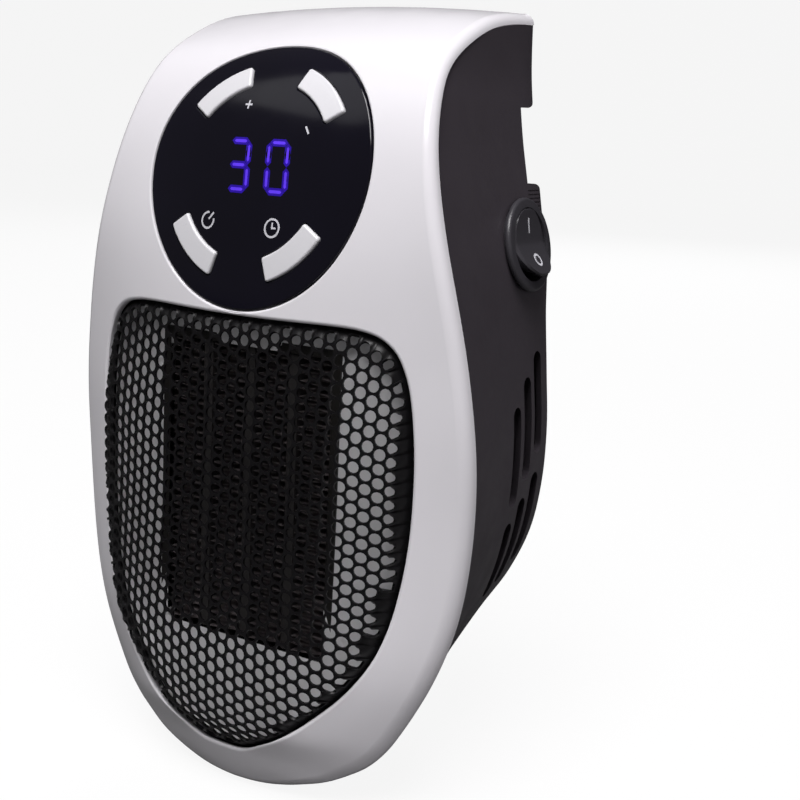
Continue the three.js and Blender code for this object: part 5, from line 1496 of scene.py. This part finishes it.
# Each lamp: its place, size and power, whether it shows in reflections, and its colour
LAMPS = {
    "top_light": ((0.22, -0.6, 1.1), 0.75, 21.0, True, (1.0, 0.985, 1.0)),
    "left_card": ((-0.66, -0.65, 0.93), 0.42, 0.45, True, (0.98, 0.98, 1.0)),
    "low_fill": ((0.3, -1.15, 0.0), 0.5, 0.6, False, (1.0, 0.98, 1.0)),
    "rear_light": ((-0.5, 1.3, 0.7), 0.8, 9.0, False, (0.98, 0.98, 1.0)),
    "right_light": ((1.2, -0.3, 0.15), 0.9, 3.0, False, (1.0, 0.96, 1.0)),
}
LAMP_TARGET = (0.0, -0.04, -0.05)


class HEATER_OT_stage(bpy.types.Operator):
    """Floor, backdrop, soft lights and the camera"""
    bl_idname = "heater.stage"
    bl_label = "Stage"

    def execute(self, context):
        scene = context.scene
        ground = cad_box[0][2] - 0.0002
        near, back, bend, reach = -3.0, 2.2, 1.2, 6.0
        curve = [(back + bend * math.sin(t), ground + bend * (1 - math.cos(t)))
                 for t in (k / 16 * math.pi / 2 for k in range(17))]
        profile = [(near, ground), *curve, (back + bend, reach)]
        points = [(x, y, z) for y, z in profile for x in (-reach, reach)]
        faces = [(2 * k, 2 * k + 1, 2 * k + 3, 2 * k + 2) for k in range(len(profile) - 1)]
        mesh = bpy.data.meshes.new("studio_floor")
        mesh.from_pydata(points, [], faces)
        mesh.shade_smooth()
        floor = bpy.data.objects.new("studio_floor", mesh)
        scene.collection.objects.link(floor)
        paint = bpy.data.materials.new("floor_paper")
        paint.use_nodes = True
        tree = paint.node_tree
        tree.nodes.clear()
        # The camera sees the paper nearly white, and the heater is lit by a dim one
        seen = new_node(tree, "ShaderNodeLightPath").outputs["Is Camera Ray"]
        lit = new_node(tree, "ShaderNodeBsdfDiffuse", Color=(*scene.heater_colours.floor, 1.0))
        bright = new_node(tree, "ShaderNodeEmission", Color=(1.0, 1.0, 1.0, 1.0))
        dim = new_node(tree, "ShaderNodeBsdfDiffuse", Color=(0.1, 0.1, 0.1, 1.0))
        paper = new_node(tree, "ShaderNodeMixShader", Fac=0.9, i1=lit.outputs[0], i2=bright.outputs[0])
        either = new_node(tree, "ShaderNodeMixShader", Fac=seen, i1=dim.outputs[0], i2=paper.outputs[0])
        new_node(tree, "ShaderNodeOutputMaterial", Surface=either.outputs[0])
        mesh.materials.append(paint)
        world = bpy.data.worlds.new("studio_world")
        scene.world = world
        world.use_nodes = True
        tree = world.node_tree
        seen = new_node(tree, "ShaderNodeLightPath").outputs["Is Camera Ray"]
        level = new_node(tree, "ShaderNodeMapRange", Value=seen, To_Min=0.13, To_Max=1.0).outputs["Result"]
        fill(tree, tree.nodes["Background"], Strength=level, Color=(1.0, 1.0, 1.0, 1.0))
        for name, (place, size, power, mirrors, tone) in LAMPS.items():
            lamp = bpy.data.lights.new(name, "AREA")
            lamp.shape, lamp.size, lamp.energy, lamp.color = "SQUARE", size, power, tone
            obj = bpy.data.objects.new(name, lamp)
            obj.location = place
            obj.rotation_euler = (Vector(LAMP_TARGET) - Vector(place)).to_track_quat("-Z", "Y").to_euler()
            obj.visible_glossy = mirrors
            scene.collection.objects.link(obj)
        view = bpy.data.cameras.new("photo_view")
        view.lens, view.sensor_width, view.clip_start = CAMERA_LENS, CAMERA_SENSOR, 0.01
        view.shift_x, view.shift_y = CAMERA_SHIFT
        eye = bpy.data.objects.new("photo_view", view)
        right, down, forward = (Vector(way) for way in CAMERA_WAYS)
        basis = Matrix((right, -down, -forward)).transposed().to_4x4()
        eye.matrix_world = Matrix.Translation(CAMERA_PLACE) @ basis
        scene.collection.objects.link(eye)
        scene.camera = eye
        scene.view_settings.view_transform = "Standard"
        return {"FINISHED"}


class HEATER_PT_panel(bpy.types.Panel):
    """The heater's sizes, colours and pieces"""
    bl_idname = "HEATER_PT_panel"
    bl_label = "Ceramic heater"
    bl_space_type = "VIEW_3D"
    bl_region_type = "UI"
    bl_category = "Heater"

    def draw(self, context):
        scene = context.scene
        for group in GROUPS:
            column = self.layout.column(align=True)
            values = getattr(scene, group)
            for key in values.__annotations__:
                column.prop(values, key)
        column = self.layout.column(align=True)
        for operator in OPERATORS:
            column.operator(operator.bl_idname)


GROUPS = {
    "heater_body": HeaterBodySizes,
    "heater_front": HeaterFrontSizes,
    "heater_grille": HeaterGrilleSizes,
    "heater_colours": HeaterColours,
}
OPERATORS = (
    HEATER_OT_stage, HEATER_OT_front_shell, HEATER_OT_control_lens, HEATER_OT_keys, HEATER_OT_marks,
    HEATER_OT_grille, HEATER_OT_duct, HEATER_OT_element, HEATER_OT_housing, HEATER_OT_switch,
    HEATER_OT_plug, HEATER_OT_screws, HEATER_OT_inner_parts,
)


def register():
    """Adds the operators, the panel and the groups of sizes."""
    for kind in (*GROUPS.values(), *OPERATORS, HEATER_PT_panel):
        bpy.utils.register_class(kind)
    for name, kind in GROUPS.items():
        setattr(bpy.types.Scene, name, PointerProperty(type=kind))


def unregister():
    """Takes away what register adds."""
    for name in GROUPS:
        delattr(bpy.types.Scene, name)
    for kind in reversed((*GROUPS.values(), *OPERATORS, HEATER_PT_panel)):
        bpy.utils.unregister_class(kind)


def main():
    """Builds the stage and every piece."""
    register()
    for operator in OPERATORS:
        group, name = operator.bl_idname.split(".")
        getattr(getattr(bpy.ops, group), name)()


if __name__ == "__main__":
    main()
